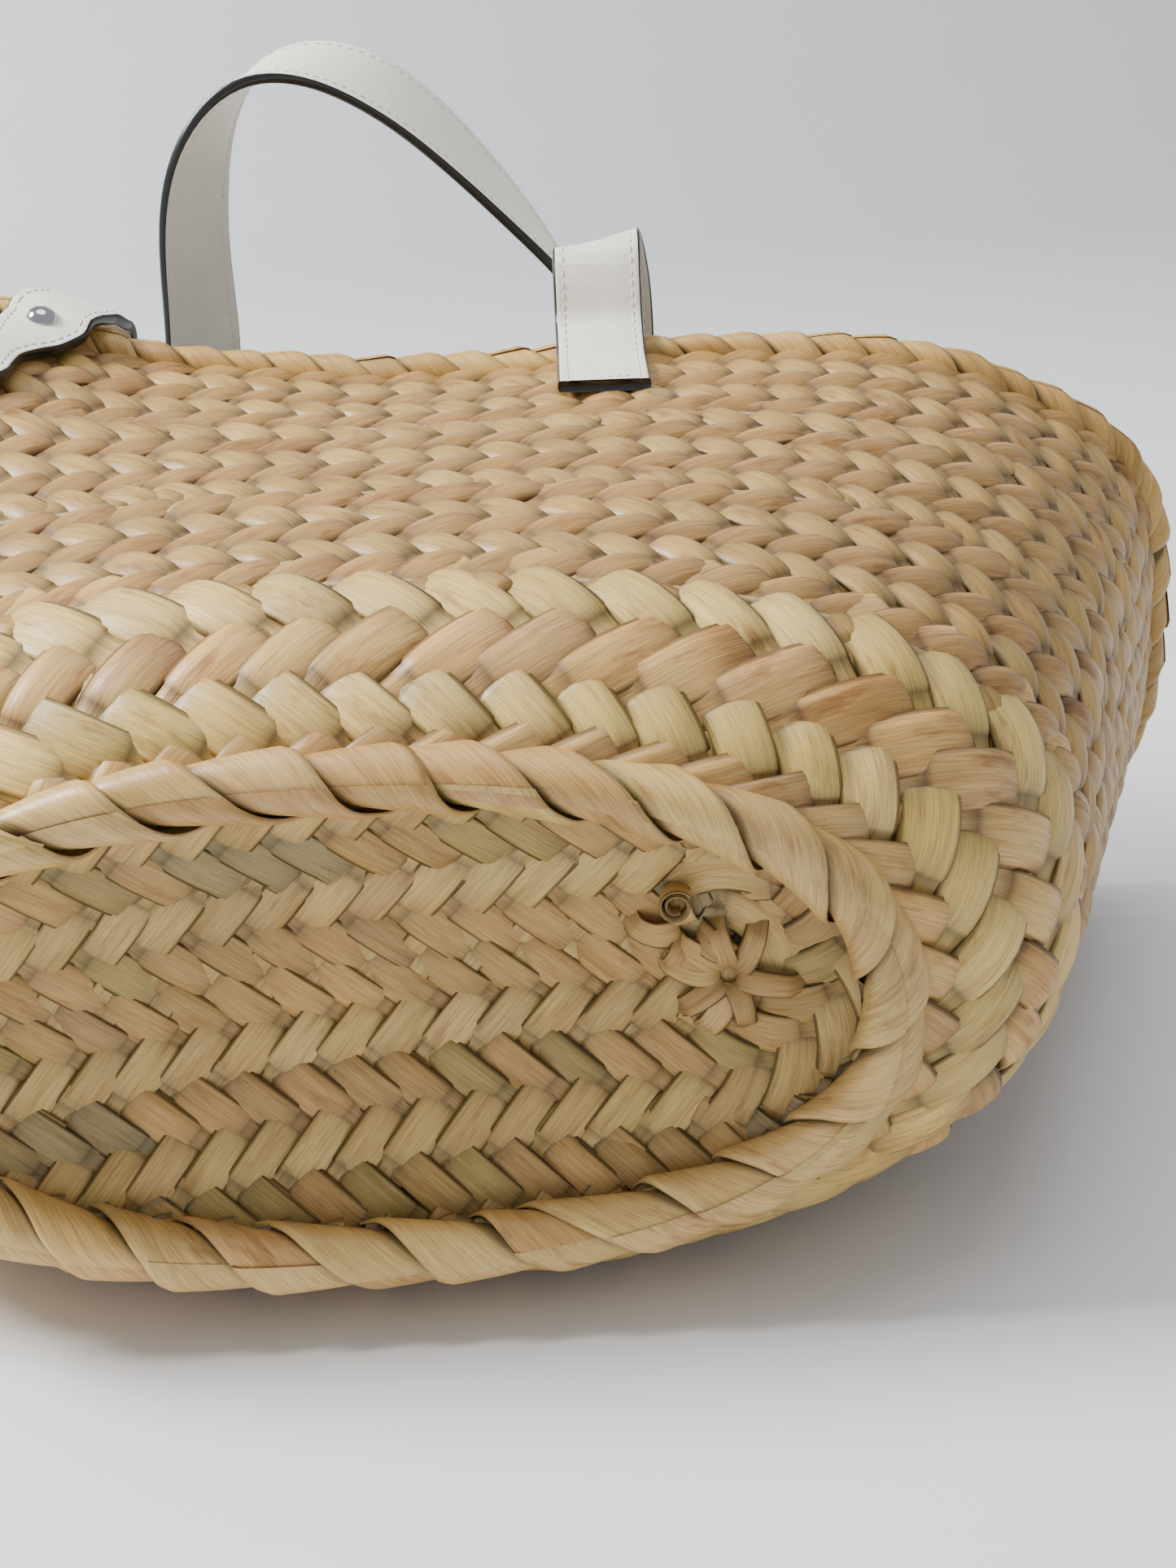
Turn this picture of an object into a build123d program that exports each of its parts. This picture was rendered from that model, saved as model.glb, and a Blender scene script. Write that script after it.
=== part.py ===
from build123d import *
import os
from math import cos, sin, pi, sqrt, hypot

# ---------------------------------------------------------------------------
# Palm-leaf basket tote, lying on its broad back side as it is laid on a table.
# X runs along the length of the bag, Y from the oval base to the mouth,
# Z up from the table.  All lengths in millimetres.
# ---------------------------------------------------------------------------

# driving dimensions
WALL = 5.0               # thickness of the plaited palm wall
FOOT_R = 6.5             # radius of the wrapped foot ring
RIM_R = 5.6              # radius of the wrapped rim edging
LACE_R = 1.2             # radius of the cord that laces two courses together
STRAP_W = 28.0           # width of the leather straps
PLY = 1.7                # thickness of one leather ply (a strap has two)
PLY_GAP = 0.1            # glue line between the two plies
BAG_H = 238.0            # base to rim
STUD_R = 4.9             # dome stud
STUD_H = 3.6
SHANK_R = 1.6
REST_Z = 0.4             # the lower side is pressed flat on the table at this height
ORIGIN = (0.0, 152.6, 0.4)   # bag coordinates of the origin: bottom centre of the whole

# outside of the body, base to rim: station Y, half length, top Z, bottom Z
STATIONS = [
    (0.0, 124.0, 146.0, 23.0), (1.5, 134.0, 151.5, 18.0), (6.0, 146.0, 158.5, 12.0),
    (13.0, 157.0, 166.5, 7.0), (22.0, 166.0, 173.5, 3.6), (32.0, 172.5, 179.0, 1.4),
    (42.0, 177.5, 182.3, 0.4), (57.0, 183.5, 184.6, 0.0), (90.0, 196.0, 187.8, 0.0),
    (135.0, 213.0, 192.0, 0.7), (185.0, 232.0, 196.5, 3.4), (238.0, 251.0, 201.0, 7.8),
]
# how the upper side of the mouth stands off a plain oval: X, lift
WAVE_X = [-260, -235, -205, -170, -145, -122, -112, -95, -83, -70, -57, -30, -4,
          22, 49, 75, 128, 155, 182, 205, 260]
WAVE_Z = [0, 2, 14, 30, 32, 26, 20, 13.2, 8.4, 5.2, 3.2, 0, -2.7, -3, -2, 0, 2,
          3.2, 3, 0, 0]
# seams between the four plaited courses of the side
SEAM_Y = [42.0, 107.3, 172.4]
SEAM_GAP = 1.35


def smooth(x, xs, fs):
    """Shape-preserving cubic through the points xs, fs."""
    n = len(xs)
    h = [xs[i + 1] - xs[i] for i in range(n - 1)]
    d = [(fs[i + 1] - fs[i]) / h[i] for i in range(n - 1)]
    m = [d[0]] + [0.0] * (n - 2) + [d[-1]]
    for i in range(1, n - 1):
        if d[i - 1] * d[i] > 0:
            w1, w2 = 2 * h[i] + h[i - 1], h[i] + 2 * h[i - 1]
            m[i] = (w1 + w2) / (w1 / d[i - 1] + w2 / d[i])
    i = 0
    while i < n - 2 and x >= xs[i + 1]:
        i += 1
    t = (x - xs[i]) / h[i]
    return ((2 * t**3 - 3 * t**2 + 1) * fs[i] + (t**3 - 2 * t**2 + t) * h[i] * m[i]
            + (-2 * t**3 + 3 * t**2) * fs[i + 1] + (t**3 - t**2) * h[i] * m[i + 1])


SY = [s[0] for s in STATIONS]
SA = [s[1] for s in STATIONS]
STOP = [s[2] for s in STATIONS]
SBOT = [s[3] for s in STATIONS]


def lift(x, y):
    """Lift of the upper side at length x, fading out towards the base."""
    w = min(max((y - 70.0) / 168.0, 0.0), 1.0)
    return smooth(min(max(x, -259.9), 259.9), WAVE_X, WAVE_Z) * w * w * (3 - 2 * w)


def outline(y, inset=0.0, count=48):
    """Closed outline of the body at station y, moved inwards by inset: (x, z) points."""
    yy = min(max(y, 0.0), BAG_H)
    a = smooth(yy, SY, SA) - inset
    zt = smooth(yy, SY, STOP) - inset
    zb = smooth(yy, SY, SBOT) + inset
    k = yy / BAG_H
    zc, b = (zt + zb) / 2, (zt - zb) / 2
    pts = []
    for i in range(count):
        t = 2 * pi * i / count
        n = 2.3 + (0.94 if sin(t) >= 0 else 1.0) * k
        c, s = cos(t), sin(t)
        x = a * (1 if c >= 0 else -1) * abs(c) ** (2 / n)
        z = b * (1 if s >= 0 else -1) * abs(s) ** (2 / n)
        if z > 0:
            z += lift(x, yy) * (z / b) ** 0.7
        pts.append((x, zc + z))
    return pts


def wall_z(x, y, top=True):
    """Height of the outside of the upper or lower side at (x, y)."""
    yy = min(max(y, 0.0), BAG_H)
    a, zt, zb = smooth(yy, SY, SA), smooth(yy, SY, STOP), smooth(yy, SY, SBOT)
    k = yy / BAG_H
    n = 2.3 + (0.94 if top else 1.0) * k
    zc, b = (zt + zb) / 2, (zt - zb) / 2
    q = (1 - min(abs(x / a), 0.999) ** n) ** (1 / n)
    return zc + b * q + lift(x, yy) * q**0.7 if top else zc - b * q


def at(x, y, z):
    """A point of the bag in the part's own frame."""
    return Vector(x - ORIGIN[0], y - ORIGIN[1], z - ORIGIN[2])


def station(y):
    """Section plane across the bag at y: local x is X, local y is Z."""
    return Plane(origin=at(0, y, 0), x_dir=(1, 0, 0), z_dir=(0, -1, 0))


def local(points):
    return [(x - ORIGIN[0], z - ORIGIN[2]) for x, z in points]


def ring_points(y, inset, count=48):
    return [at(x, y, z) for x, z in outline(y, inset, count)]


# ---------------------------------------------------------------------------
# Foot ring: broad leaves wrapped over the joint of base and side
# ---------------------------------------------------------------------------
foot_path = ring_points(0.0, 0.0, 40)
with BuildPart() as foot_ring:
    with BuildLine():
        Spline(*foot_path, periodic=True)
    with BuildSketch(Plane(origin=foot_path[0], x_dir=(1, 0, 0), z_dir=(0, 0, 1))):
        Circle(FOOT_R)
    sweep()
foot_ring.part.label = "foot_ring"

with BuildPart() as foot_groove:
    with BuildLine():
        Spline(*foot_path, periodic=True)
    with BuildSketch(Plane(origin=foot_path[0], x_dir=(1, 0, 0), z_dir=(0, 0, 1))):
        Circle(FOOT_R + 0.15)
    sweep()

# ---------------------------------------------------------------------------
# Base mat: oval plait, dished up into the bag
# ---------------------------------------------------------------------------
BASE_IN = 4.5                                   # mat edge inside the ring's centre line
DISH = [(1.0, 5.2), (0.82, 10.0), (0.6, 15.5), (0.35, 19.5), (0.1, 21.5)]
MAT_T = 4.4
base_zc = (146.0 + 23.0) / 2


def mat_points(scale):
    return local([(x * scale, base_zc + (z - base_zc) * scale)
                  for x, z in outline(0.0, BASE_IN, 40)])


with BuildPart() as base_mat:
    with BuildSketch(station(5.2)):
        with BuildLine():
            Spline(*mat_points(1.0), periodic=True)
        make_face()
    with BuildSketch(station(5.2 + MAT_T)):
        with BuildLine():
            Spline(*mat_points(1.0), periodic=True)
        make_face()
    for scale, y in DISH[1:]:
        with BuildSketch(station(y + MAT_T)):
            with BuildLine():
                Spline(*mat_points(scale), periodic=True)
            make_face()
    loft(ruled=True)
    for scale, y in DISH:
        with BuildSketch(station(y - (0.4 if scale == 1.0 else 0.0))):
            with BuildLine():
                Spline(*mat_points(0.995 * scale), periodic=True)
            make_face()
    loft(ruled=True, mode=Mode.SUBTRACT)
base_mat.part.label = "base_mat"

# ---------------------------------------------------------------------------
# Side: four plaited courses, laced edge to edge
# ---------------------------------------------------------------------------
# inside of the wall: station Y, inset from the outline at that station
INNER = [(10.5, 16.0), (16.0, 9.0), (24.0, 6.5), (34.0, 5.6), (44.0, 5.3),
         (60.0, 5.2), (90.0, 5.2), (107.3, 5.2), (135.0, 5.2), (172.4, 5.2),
         (205.0, 5.2), (238.0, 5.2)]


def inner_span(y0, y1):
    return [s for s in INNER if y0 <= s[0] <= y1]


with BuildPart() as side_course_1:
    for y in [0.9, 1.5, 3.5, 6.0, 9.5, 13.0, 17.5, 22.0, 27.0, 32.0, 37.0, SEAM_Y[0] - SEAM_GAP]:
        with BuildSketch(station(y)):
            with BuildLine():
                Spline(*local(outline(y)), periodic=True)
            make_face()
    loft(ruled=True)
    for y, inset in inner_span(10.0, 50.0):
        with BuildSketch(station(y)):
            with BuildLine():
                Spline(*local(outline(y, inset)), periodic=True)
            make_face()
    loft(ruled=True, mode=Mode.SUBTRACT)
    with BuildSketch(station(20.0)):
        with BuildLine():
            Spline(*local(outline(0.0, 4.2, 40)), periodic=True)
        make_face()
    extrude(amount=40.0, mode=Mode.SUBTRACT)
    add(foot_groove.part, mode=Mode.SUBTRACT)
    split(bisect_by=Plane.XY, keep=Keep.TOP)
side_course_1.part.label = "side_course_1"

with BuildPart() as side_course_2:
    for y in [SEAM_Y[0] + SEAM_GAP, 50.0, 57.0, 72.0, 90.0, SEAM_Y[1] - SEAM_GAP]:
        with BuildSketch(station(y)):
            with BuildLine():
                Spline(*local(outline(y)), periodic=True)
            make_face()
    loft(ruled=True)
    for y, inset in [(36.0, 5.4), (44.0, 5.3), (50.0, 5.2), (57.0, 5.2), (72.0, 5.2),
                     (90.0, 5.2), (115.0, 5.2)]:
        with BuildSketch(station(y)):
            with BuildLine():
                Spline(*local(outline(y, inset)), periodic=True)
            make_face()
    loft(ruled=True, mode=Mode.SUBTRACT)
    split(bisect_by=Plane.XY, keep=Keep.TOP)
side_course_2.part.label = "side_course_2"

with BuildPart() as side_course_3:
    for y in [SEAM_Y[1] + SEAM_GAP, 121.0, 135.0, 153.0, SEAM_Y[2] - SEAM_GAP]:
        with BuildSketch(station(y)):
            with BuildLine():
                Spline(*local(outline(y)), periodic=True)
            make_face()
    loft(ruled=True)
    for y in [100.0, 121.0, 135.0, 153.0, 180.0]:
        with BuildSketch(station(y)):
            with BuildLine():
                Spline(*local(outline(y, 5.2)), periodic=True)
            make_face()
    loft(ruled=True, mode=Mode.SUBTRACT)
    split(bisect_by=Plane.XY, keep=Keep.TOP)
side_course_3.part.label = "side_course_3"

# the leather tab and the two dome studs of the front handle's left end
TAB_DIR = (-0.33, -0.944)            # direction of the tab down the wall, in X and Y
TAB_ROOT = (-101.0, 243.0)
STUD_AT = [(-108.2, 226.8), (-122.5, 183.5)]
RIM_TOP_Y = 232.2


def tab_frame(s, side=0.0, off=0.0):
    """Point s down the tab and side across it, off above the wall."""
    x = TAB_ROOT[0] + TAB_DIR[0] * s - TAB_DIR[1] * side
    y = TAB_ROOT[1] + TAB_DIR[1] * s + TAB_DIR[0] * side
    return x, y


def stud_plane(x, y, off):
    """Plane on the wall at (x, y), its normal out of the wall, off above it."""
    z = wall_z(x, y)
    zx = (wall_z(x + 4, y) - wall_z(x - 4, y)) / 8
    zy = (wall_z(x, y + 4) - wall_z(x, y - 4)) / 8
    n = Vector(-zx, -zy, 1).normalized()
    return Plane(origin=at(x, y, z) + n * off, x_dir=(1, 0, zx), z_dir=n)


with BuildPart() as side_course_4:
    for y in [SEAM_Y[2] + SEAM_GAP, 185.0, 202.0, 218.0, RIM_TOP_Y]:
        with BuildSketch(station(y)):
            with BuildLine():
                Spline(*local(outline(y)), periodic=True)
            make_face()
    loft(ruled=True)
    for y in [165.0, 185.0, 202.0, 218.0, 238.0]:
        with BuildSketch(station(y)):
            with BuildLine():
                Spline(*local(outline(y, 5.2)), periodic=True)
            make_face()
    loft(ruled=True, mode=Mode.SUBTRACT)
    for x, y in STUD_AT:
        with BuildSketch(stud_plane(x, y, -9.0)):
            Circle(SHANK_R + 0.2)
        extrude(amount=14.0, mode=Mode.SUBTRACT)
side_course_4.part.label = "side_course_4"

# cords that lace the courses together, in the joints between them
with BuildPart() as course_lacing:
    for y in SEAM_Y:
        lace = ring_points(y, WALL / 2, 40)
        with BuildLine():
            Spline(*lace, periodic=True)
        with BuildSketch(Plane(origin=lace[0], x_dir=(1, 0, 0), z_dir=(0, 0, 1))):
            Circle(LACE_R)
        sweep()
course_lacing.part.label = "course_lacing"

# ---------------------------------------------------------------------------
# Rim edging: leaf wrapped over the top edge of the last course
# ---------------------------------------------------------------------------
rim_path = ring_points(BAG_H, 2.0, 56)
with BuildPart() as rim_edging:
    with BuildLine():
        Spline(*rim_path, periodic=True)
    with BuildSketch(Plane(origin=rim_path[0], x_dir=(1, 0, 0), z_dir=(0, 0, 1))):
        Circle(RIM_R)
    sweep()
rim_edging.part.label = "rim_edging"

# ---------------------------------------------------------------------------
# Leather straps.  A strap is a list of (centre point, width direction); its
# grain side is along tangent x width direction.
# ---------------------------------------------------------------------------


def strap_planes(points, widths, count):
    """Section planes along a smooth path through points, turning with widths."""
    s = [0.0]
    for p, q in zip(points[:-1], points[1:]):
        s.append(s[-1] + sqrt(sum((a - b) ** 2 for a, b in zip(p, q))))

    def pos(t):
        t = min(max(t, 0.0), s[-1])
        return Vector(*[smooth(t, s, [p[k] for p in points]) for k in range(3)])

    planes = []
    for i in range(count):
        t = s[-1] * i / (count - 1)
        e = 1.5
        tan = (pos(t + e) - pos(t - e)).normalized()
        w = Vector(*[smooth(t, s, [q[k] for q in widths]) for k in range(3)])
        w = (w - tan * w.dot(tan)).normalized()
        c = pos(t)
        planes.append(Plane(origin=at(c.X, c.Y, c.Z), x_dir=w, z_dir=tan))
    return planes


# back handle: stands up behind the mouth, sewn under the lower side
BACK_PIVOT_Y, BACK_PIVOT_Z = 254.6, 3.8
BACK_LEFT_X, BACK_RIGHT_X = -88.0, 66.0
back_points = [
    (-88.0, 256.0, 6.8), (-87.6, 258.4, 18.0), (-86.0, 265.5, 50.0), (-82.5, 276.0, 100.0),
    (-77.0, 286.0, 155.0), (-69.4, 292.6, 203.6), (-69.8, 294.3, 222.8),
    (-69.4, 295.2, 240.2), (-66.6, 295.8, 256.4), (-61.7, 297.6, 270.2),
    (-55.3, 298.7, 280.4), (-46.6, 298.8, 289.4), (-37.5, 298.3, 292.9),
    (-25.9, 297.7, 293.0), (-15.5, 296.9, 290.7), (-4.8, 296.5, 285.4),
    (7.6, 297.0, 276.5), (19.2, 297.5, 265.2), (34.0, 298.1, 249.0),
    (44.3, 298.6, 236.0), (54.2, 298.8, 223.6), (62.5, 297.0, 206.0),
    (67.5, 291.0, 176.0), (69.5, 281.5, 128.0), (68.5, 270.4, 74.0),
    (66.8, 260.6, 28.0), (66.2, 257.5, 14.0), (66.0, 256.0, 6.8),
]
back_widths = [
    (1, 0, 0), (1, 0.02, 0), (0.99, 0.12, 0), (0.95, 0.3, 0),
    (0.86, 0.5, 0), (0.78, 0.6, -0.2), (0.73, 0.68, -0.04),
    (0.68, 0.73, -0.07), (0.57, 0.78, -0.28), (0.34, 0.9, -0.25),
    (0.13, 0.98, -0.16), (-0.04, 0.99, 0.09), (-0.01, 0.95, 0.28),
    (0.07, 0.91, 0.41), (0.22, 0.85, 0.48), (0.3, 0.82, 0.49),
    (0.33, 0.86, 0.4), (0.31, 0.89, 0.34), (0.25, 0.94, 0.23),
    (0.16, 0.97, 0.16), (0.06, 0.99, 0.08), (-0.15, 0.98, 0.0),
    (-0.5, 0.85, 0.0), (-0.82, 0.55, 0.0), (-0.96, 0.25, 0.0),
    (-1, 0.05, 0), (-1, 0.01, 0), (-1, 0, 0),
]
back_planes = strap_planes(back_points, back_widths, 56)

with BuildPart() as back_handle_outer:
    for plane in back_planes:
        with BuildSketch(plane):
            with Locations((0, (PLY + PLY_GAP) / 2)):
                Rectangle(STRAP_W, PLY)
    loft(ruled=True)
back_handle_outer.part.label = "back_handle_outer"

with BuildPart() as back_handle_lining:
    for plane in back_planes:
        with BuildSketch(plane):
            with Locations((0, -(PLY + PLY_GAP) / 2)):
                Rectangle(STRAP_W, PLY)
    loft(ruled=True)
back_handle_lining.part.label = "back_handle_lining"

# front handle: folded back over the rim and tucked into the mouth
FRONT_PIVOT_R = (67.0, 237.6, 209.2)
FRONT_PIVOT_L = (-99.4, 247.7, 219.8)
front_points = [
    (67.0, 239.0, 211.6), (67.0, 242.0, 221.0), (67.3, 247.5, 230.0), (68.0, 255.5, 234.0),
    (69.5, 264.0, 229.5), (71.5, 269.5, 216.0), (71.8, 270.5, 198.0), (70.0, 266.0, 175.0),
    (66.0, 256.0, 150.0), (59.0, 240.0, 124.0), (46.0, 222.0, 100.0), (26.0, 207.0, 83.0),
    (2.0, 199.0, 75.0), (-22.0, 198.0, 74.0), (-46.0, 204.0, 81.0), (-67.0, 217.0, 97.0),
    (-83.0, 236.0, 122.0), (-93.0, 251.0, 149.0), (-98.5, 260.0, 177.0),
    (-100.6, 263.0, 199.0), (-99.6, 262.0, 211.0), (-97.8, 257.6, 218.0),
    (-97.6, 253.2, 219.8), (-98.65, 250.0, 219.9),
]
front_widths = [
    (-1, 0, 0), (-0.98, -0.1, -0.08), (-0.95, -0.22, -0.2), (-0.93, -0.26, -0.25),
    (-0.95, -0.2, -0.22), (-0.98, -0.1, -0.1), (-1, 0.0, 0.0), (-0.98, 0.12, -0.08),
    (-0.9, 0.35, -0.2), (-0.72, 0.58, -0.38), (-0.45, 0.72, -0.52), (-0.2, 0.78, -0.58),
    (-0.05, 0.8, -0.6), (0.1, 0.8, -0.6), (0.28, 0.76, -0.57), (0.5, 0.68, -0.5),
    (0.74, 0.54, -0.36), (0.9, 0.34, -0.18), (0.98, 0.14, -0.06),
    (1, 0.03, 0.0), (0.97, -0.1, -0.2), (0.95, -0.28, -0.36), (0.94, -0.33, -0.38),
    (0.94, -0.33, -0.38),
]
front_planes = strap_planes(front_points, front_widths, 56)

with BuildPart() as front_handle_outer:
    for plane in front_planes:
        with BuildSketch(plane):
            with Locations((0, (PLY + PLY_GAP) / 2)):
                Rectangle(STRAP_W, PLY)
    loft(ruled=True)
front_handle_outer.part.label = "front_handle_outer"

with BuildPart() as front_handle_lining:
    for plane in front_planes:
        with BuildSketch(plane):
            with Locations((0, -(PLY + PLY_GAP) / 2)):
                Rectangle(STRAP_W, PLY)
    loft(ruled=True)
front_handle_lining.part.label = "front_handle_lining"

# ---------------------------------------------------------------------------
# Sewn ends, fixed to the basket
# ---------------------------------------------------------------------------
LIE = 0.35 + PLY + PLY_GAP / 2        # mid-plane of a strap that lies on the wall
END_Y = 191.0
front_end_points = [(67.0, y, wall_z(67.0, y) + LIE) for y in (END_Y, 201.0, 211.0, 221.0)]
front_end_points += [(67.0, 227.5, 203.3), (67.0, 232.0, 205.9), (67.0, 235.0, 207.9)]
front_end_widths = [(-1, 0, 0.015)] * 4 + [(-1, 0, 0)] * 3
front_end_planes = strap_planes(front_end_points, front_end_widths, 14)

with BuildPart() as front_right_end_outer:
    for plane in front_end_planes:
        with BuildSketch(plane):
            with Locations((0, (PLY + PLY_GAP) / 2)):
                Rectangle(STRAP_W, PLY)
    loft(ruled=True)
front_right_end_outer.part.label = "front_right_end_outer"

with BuildPart() as front_right_end_lining:
    for plane in front_end_planes:
        with BuildSketch(plane):
            with Locations((0, -(PLY + PLY_GAP) / 2)):
                Rectangle(STRAP_W, PLY)
    loft(ruled=True)
front_right_end_lining.part.label = "front_right_end_lining"

# studded tab: the strap comes over the rim, narrows to a waist and ends round
TAB_S = [-2.6, 1.0, 6.0, 9.0, 12.5, 17.0, 22.0, 28.0, 36.0, 44.0, 52.0, 58.0, 64.0, 68.5, 71.5]
TAB_HALF = [14.0, 14.0, 14.0, 14.0, 14.0, 13.7, 13.0, 11.6, 8.8, 7.6, 9.4, 11.0, 10.6, 7.6, 2.6]
RIM_AXIS_Z = [wall_z(tab_frame(s)[0], 238.0) - 2.0 for s in TAB_S]
TAB_OVER = RIM_R + 2.95 + PLY + PLY_GAP / 2


def tab_mid(i):
    """Mid-plane of the tab at its i-th station: over the rim, then down onto the wall."""
    x, y = tab_frame(TAB_S[i])
    down = wall_z(x, min(y, 232.0)) + LIE + 1.3
    over = 0.0
    if y > 238.0 - TAB_OVER:
        over = RIM_AXIS_Z[i] + (TAB_OVER if y > 238.0 else sqrt(TAB_OVER**2 - (238.0 - y) ** 2))
    chord = [0, 0, 0, 0.3, 1.2, 1.4, 0.6][i] if i < 7 else 0.0
    return x, y, max(over, down) + chord


tab_points = [tab_mid(i) for i in range(len(TAB_S))]
tab_widths = []
for s in TAB_S:
    x, y = tab_frame(s)
    yy = min(y, 230.0)
    wx, wy = -TAB_DIR[1], TAB_DIR[0]
    dz = (wall_z(x + 5 * wx, yy + 5 * wy) - wall_z(x - 5 * wx, yy - 5 * wy)) / 10
    tab_widths.append((wx, wy, dz))
tab_planes = []
for i, p in enumerate(tab_points):
    a, b = tab_points[max(i - 1, 0)], tab_points[min(i + 1, len(tab_points) - 1)]
    tan = Vector(*[v - u for u, v in zip(a, b)]).normalized()
    w = Vector(*tab_widths[i])
    w = (w - tan * w.dot(tan)).normalized()
    tab_planes.append(Plane(origin=at(*p), x_dir=w, z_dir=tan))

with BuildPart() as front_left_tab_outer:
    for plane, half in zip(tab_planes, TAB_HALF):
        with BuildSketch(plane):
            with Locations((0, (PLY + PLY_GAP) / 2)):
                Rectangle(2 * half, PLY)
    loft(ruled=True)
    for x, y in STUD_AT:
        with BuildSketch(stud_plane(x, y, -4.0)):
            Circle(SHANK_R + 0.2)
        extrude(amount=16.0, mode=Mode.SUBTRACT)
front_left_tab_outer.part.label = "front_left_tab_outer"

with BuildPart() as front_left_tab_lining:
    for plane, half in zip(tab_planes, TAB_HALF):
        with BuildSketch(plane):
            with Locations((0, -(PLY + PLY_GAP) / 2)):
                Rectangle(2 * half, PLY)
    loft(ruled=True)
    for x, y in STUD_AT:
        with BuildSketch(stud_plane(x, y, -4.0)):
            Circle(SHANK_R + 0.2)
        extrude(amount=16.0, mode=Mode.SUBTRACT)
front_left_tab_lining.part.label = "front_left_tab_lining"

# back handle ends, between the lower side and the table
BACK_END_Y = (204.0, 252.4)
BACK_END_Z = 2.4


def back_end(x):
    return strap_planes([(x, y, BACK_END_Z) for y in BACK_END_Y], [(1, 0, 0)] * 2, 2)


with BuildPart() as back_left_end:
    for plane in back_end(BACK_LEFT_X):
        with BuildSketch(plane):
            Rectangle(STRAP_W, 2 * PLY - 0.2)
    loft(ruled=True)
back_left_end.part.label = "back_left_end"

with BuildPart() as back_right_end:
    for plane in back_end(BACK_RIGHT_X):
        with BuildSketch(plane):
            Rectangle(STRAP_W, 2 * PLY - 0.2)
    loft(ruled=True)
back_right_end.part.label = "back_right_end"

# ---------------------------------------------------------------------------
# Leather backing patches, studs, stud backs and stitches
# ---------------------------------------------------------------------------
PATCH_T = 1.6
PATCH_OFF = 1.6


def inside_plane(x, y, top=True):
    """Plane just inside the wall at (x, y), its normal into the bag."""
    z = wall_z(x, y, top)
    zx = (wall_z(x + 6, y, top) - wall_z(x - 6, y, top)) / 12
    zy = (wall_z(x, y + 8, top) - wall_z(x, y - 8, top)) / 16
    n = Vector(zx, zy, -1).normalized() if top else Vector(-zx, -zy, 1).normalized()
    return Plane(origin=at(x, y, z) + n * (WALL + PATCH_OFF), x_dir=(1, 0, zx), z_dir=n)


with BuildPart() as front_right_patch:
    with BuildSketch(inside_plane(67.0, 210.0)):
        RectangleRounded(26, 34, 3)
    extrude(amount=PATCH_T)
front_right_patch.part.label = "front_right_patch"

with BuildPart() as back_left_patch:
    with BuildSketch(inside_plane(BACK_LEFT_X, 214.0, top=False)):
        RectangleRounded(26, 30, 3)
    extrude(amount=PATCH_T)
back_left_patch.part.label = "back_left_patch"

with BuildPart() as back_right_patch:
    with BuildSketch(inside_plane(BACK_RIGHT_X, 214.0, top=False)):
        RectangleRounded(26, 30, 3)
    extrude(amount=PATCH_T)
back_right_patch.part.label = "back_right_patch"

with BuildPart() as dome_studs:
    for x, y in STUD_AT:
        lie = 6.6 + (2.3 if y > 215 else 0.0)
        seat = stud_plane(x, y, lie)
        with BuildSketch(seat):
            Circle(STUD_R)
        extrude(amount=0.8)
        with BuildSketch(seat.offset(0.8)):
            Circle(STUD_R)
        with BuildSketch(seat.offset(2.2)):
            Circle(STUD_R * 0.86)
        with BuildSketch(seat.offset(3.3)):
            Circle(STUD_R * 0.55)
        with BuildSketch(seat.offset(STUD_H + 0.1)):
            Circle(STUD_R * 0.16)
        loft(ruled=True)
        with BuildSketch(stud_plane(x, y, -WALL - 3.0)):
            Circle(SHANK_R)
        extrude(amount=lie + WALL + 3.2)
dome_studs.part.label = "dome_studs"

with BuildPart() as stud_backs:
    for x, y in STUD_AT:
        with BuildSketch(stud_plane(x, y, -WALL - 2.6)):
            Circle(4.2)
            Circle(SHANK_R + 0.05, mode=Mode.SUBTRACT)
        extrude(amount=1.2)
stud_backs.part.label = "stud_backs"

# the two rows and the cross row of stitches that hold the front right end
STITCH = 3.4
with BuildPart() as end_stitches:
    for k in range(7):
        y = 195.0 + 4.6 * k
        for dx in (-11.4, 11.4):
            z = wall_z(67.0, y) + 0.35 + 2 * PLY + PLY_GAP + 1.0
            with BuildSketch(Plane(origin=at(67.0 + dx, y, z + 0.17 * (-1 if dx > 0 else 1)),
                                   x_dir=(1, 0, -0.015), z_dir=(0, -0.09, 1))):
                SlotOverall(STITCH, 0.7, rotation=90)
            extrude(amount=0.4)
    for k in range(5):
        x = 67.0 - 7.6 + 3.8 * k
        z = wall_z(67.0, 193.2) + 0.35 + 2 * PLY + PLY_GAP + 1.0
        with BuildSketch(Plane(origin=at(x, 193.2, z), x_dir=(1, 0, -0.015), z_dir=(0, -0.09, 1))):
            SlotOverall(3.0, 0.7)
        extrude(amount=0.4)
end_stitches.part.label = "end_stitches"

# ---------------------------------------------------------------------------
os.makedirs("parts", exist_ok=True)
for piece in [foot_ring, base_mat, side_course_1, side_course_2, side_course_3,
              side_course_4, course_lacing, rim_edging, back_handle_outer,
              back_handle_lining, front_handle_outer, front_handle_lining,
              front_right_end_outer, front_right_end_lining, front_left_tab_outer,
              front_left_tab_lining, back_left_end, back_right_end,
              front_right_patch, back_left_patch, back_right_patch, dome_studs,
              stud_backs, end_stitches]:
    export_step(piece.part, "parts/" + piece.part.label + ".step")
    box = piece.part.bounding_box()
    print(piece.part.label, len(piece.part.solids()), round(piece.part.volume, 1),
          [round(v, 1) for v in (*box.min, *box.max)])
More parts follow.
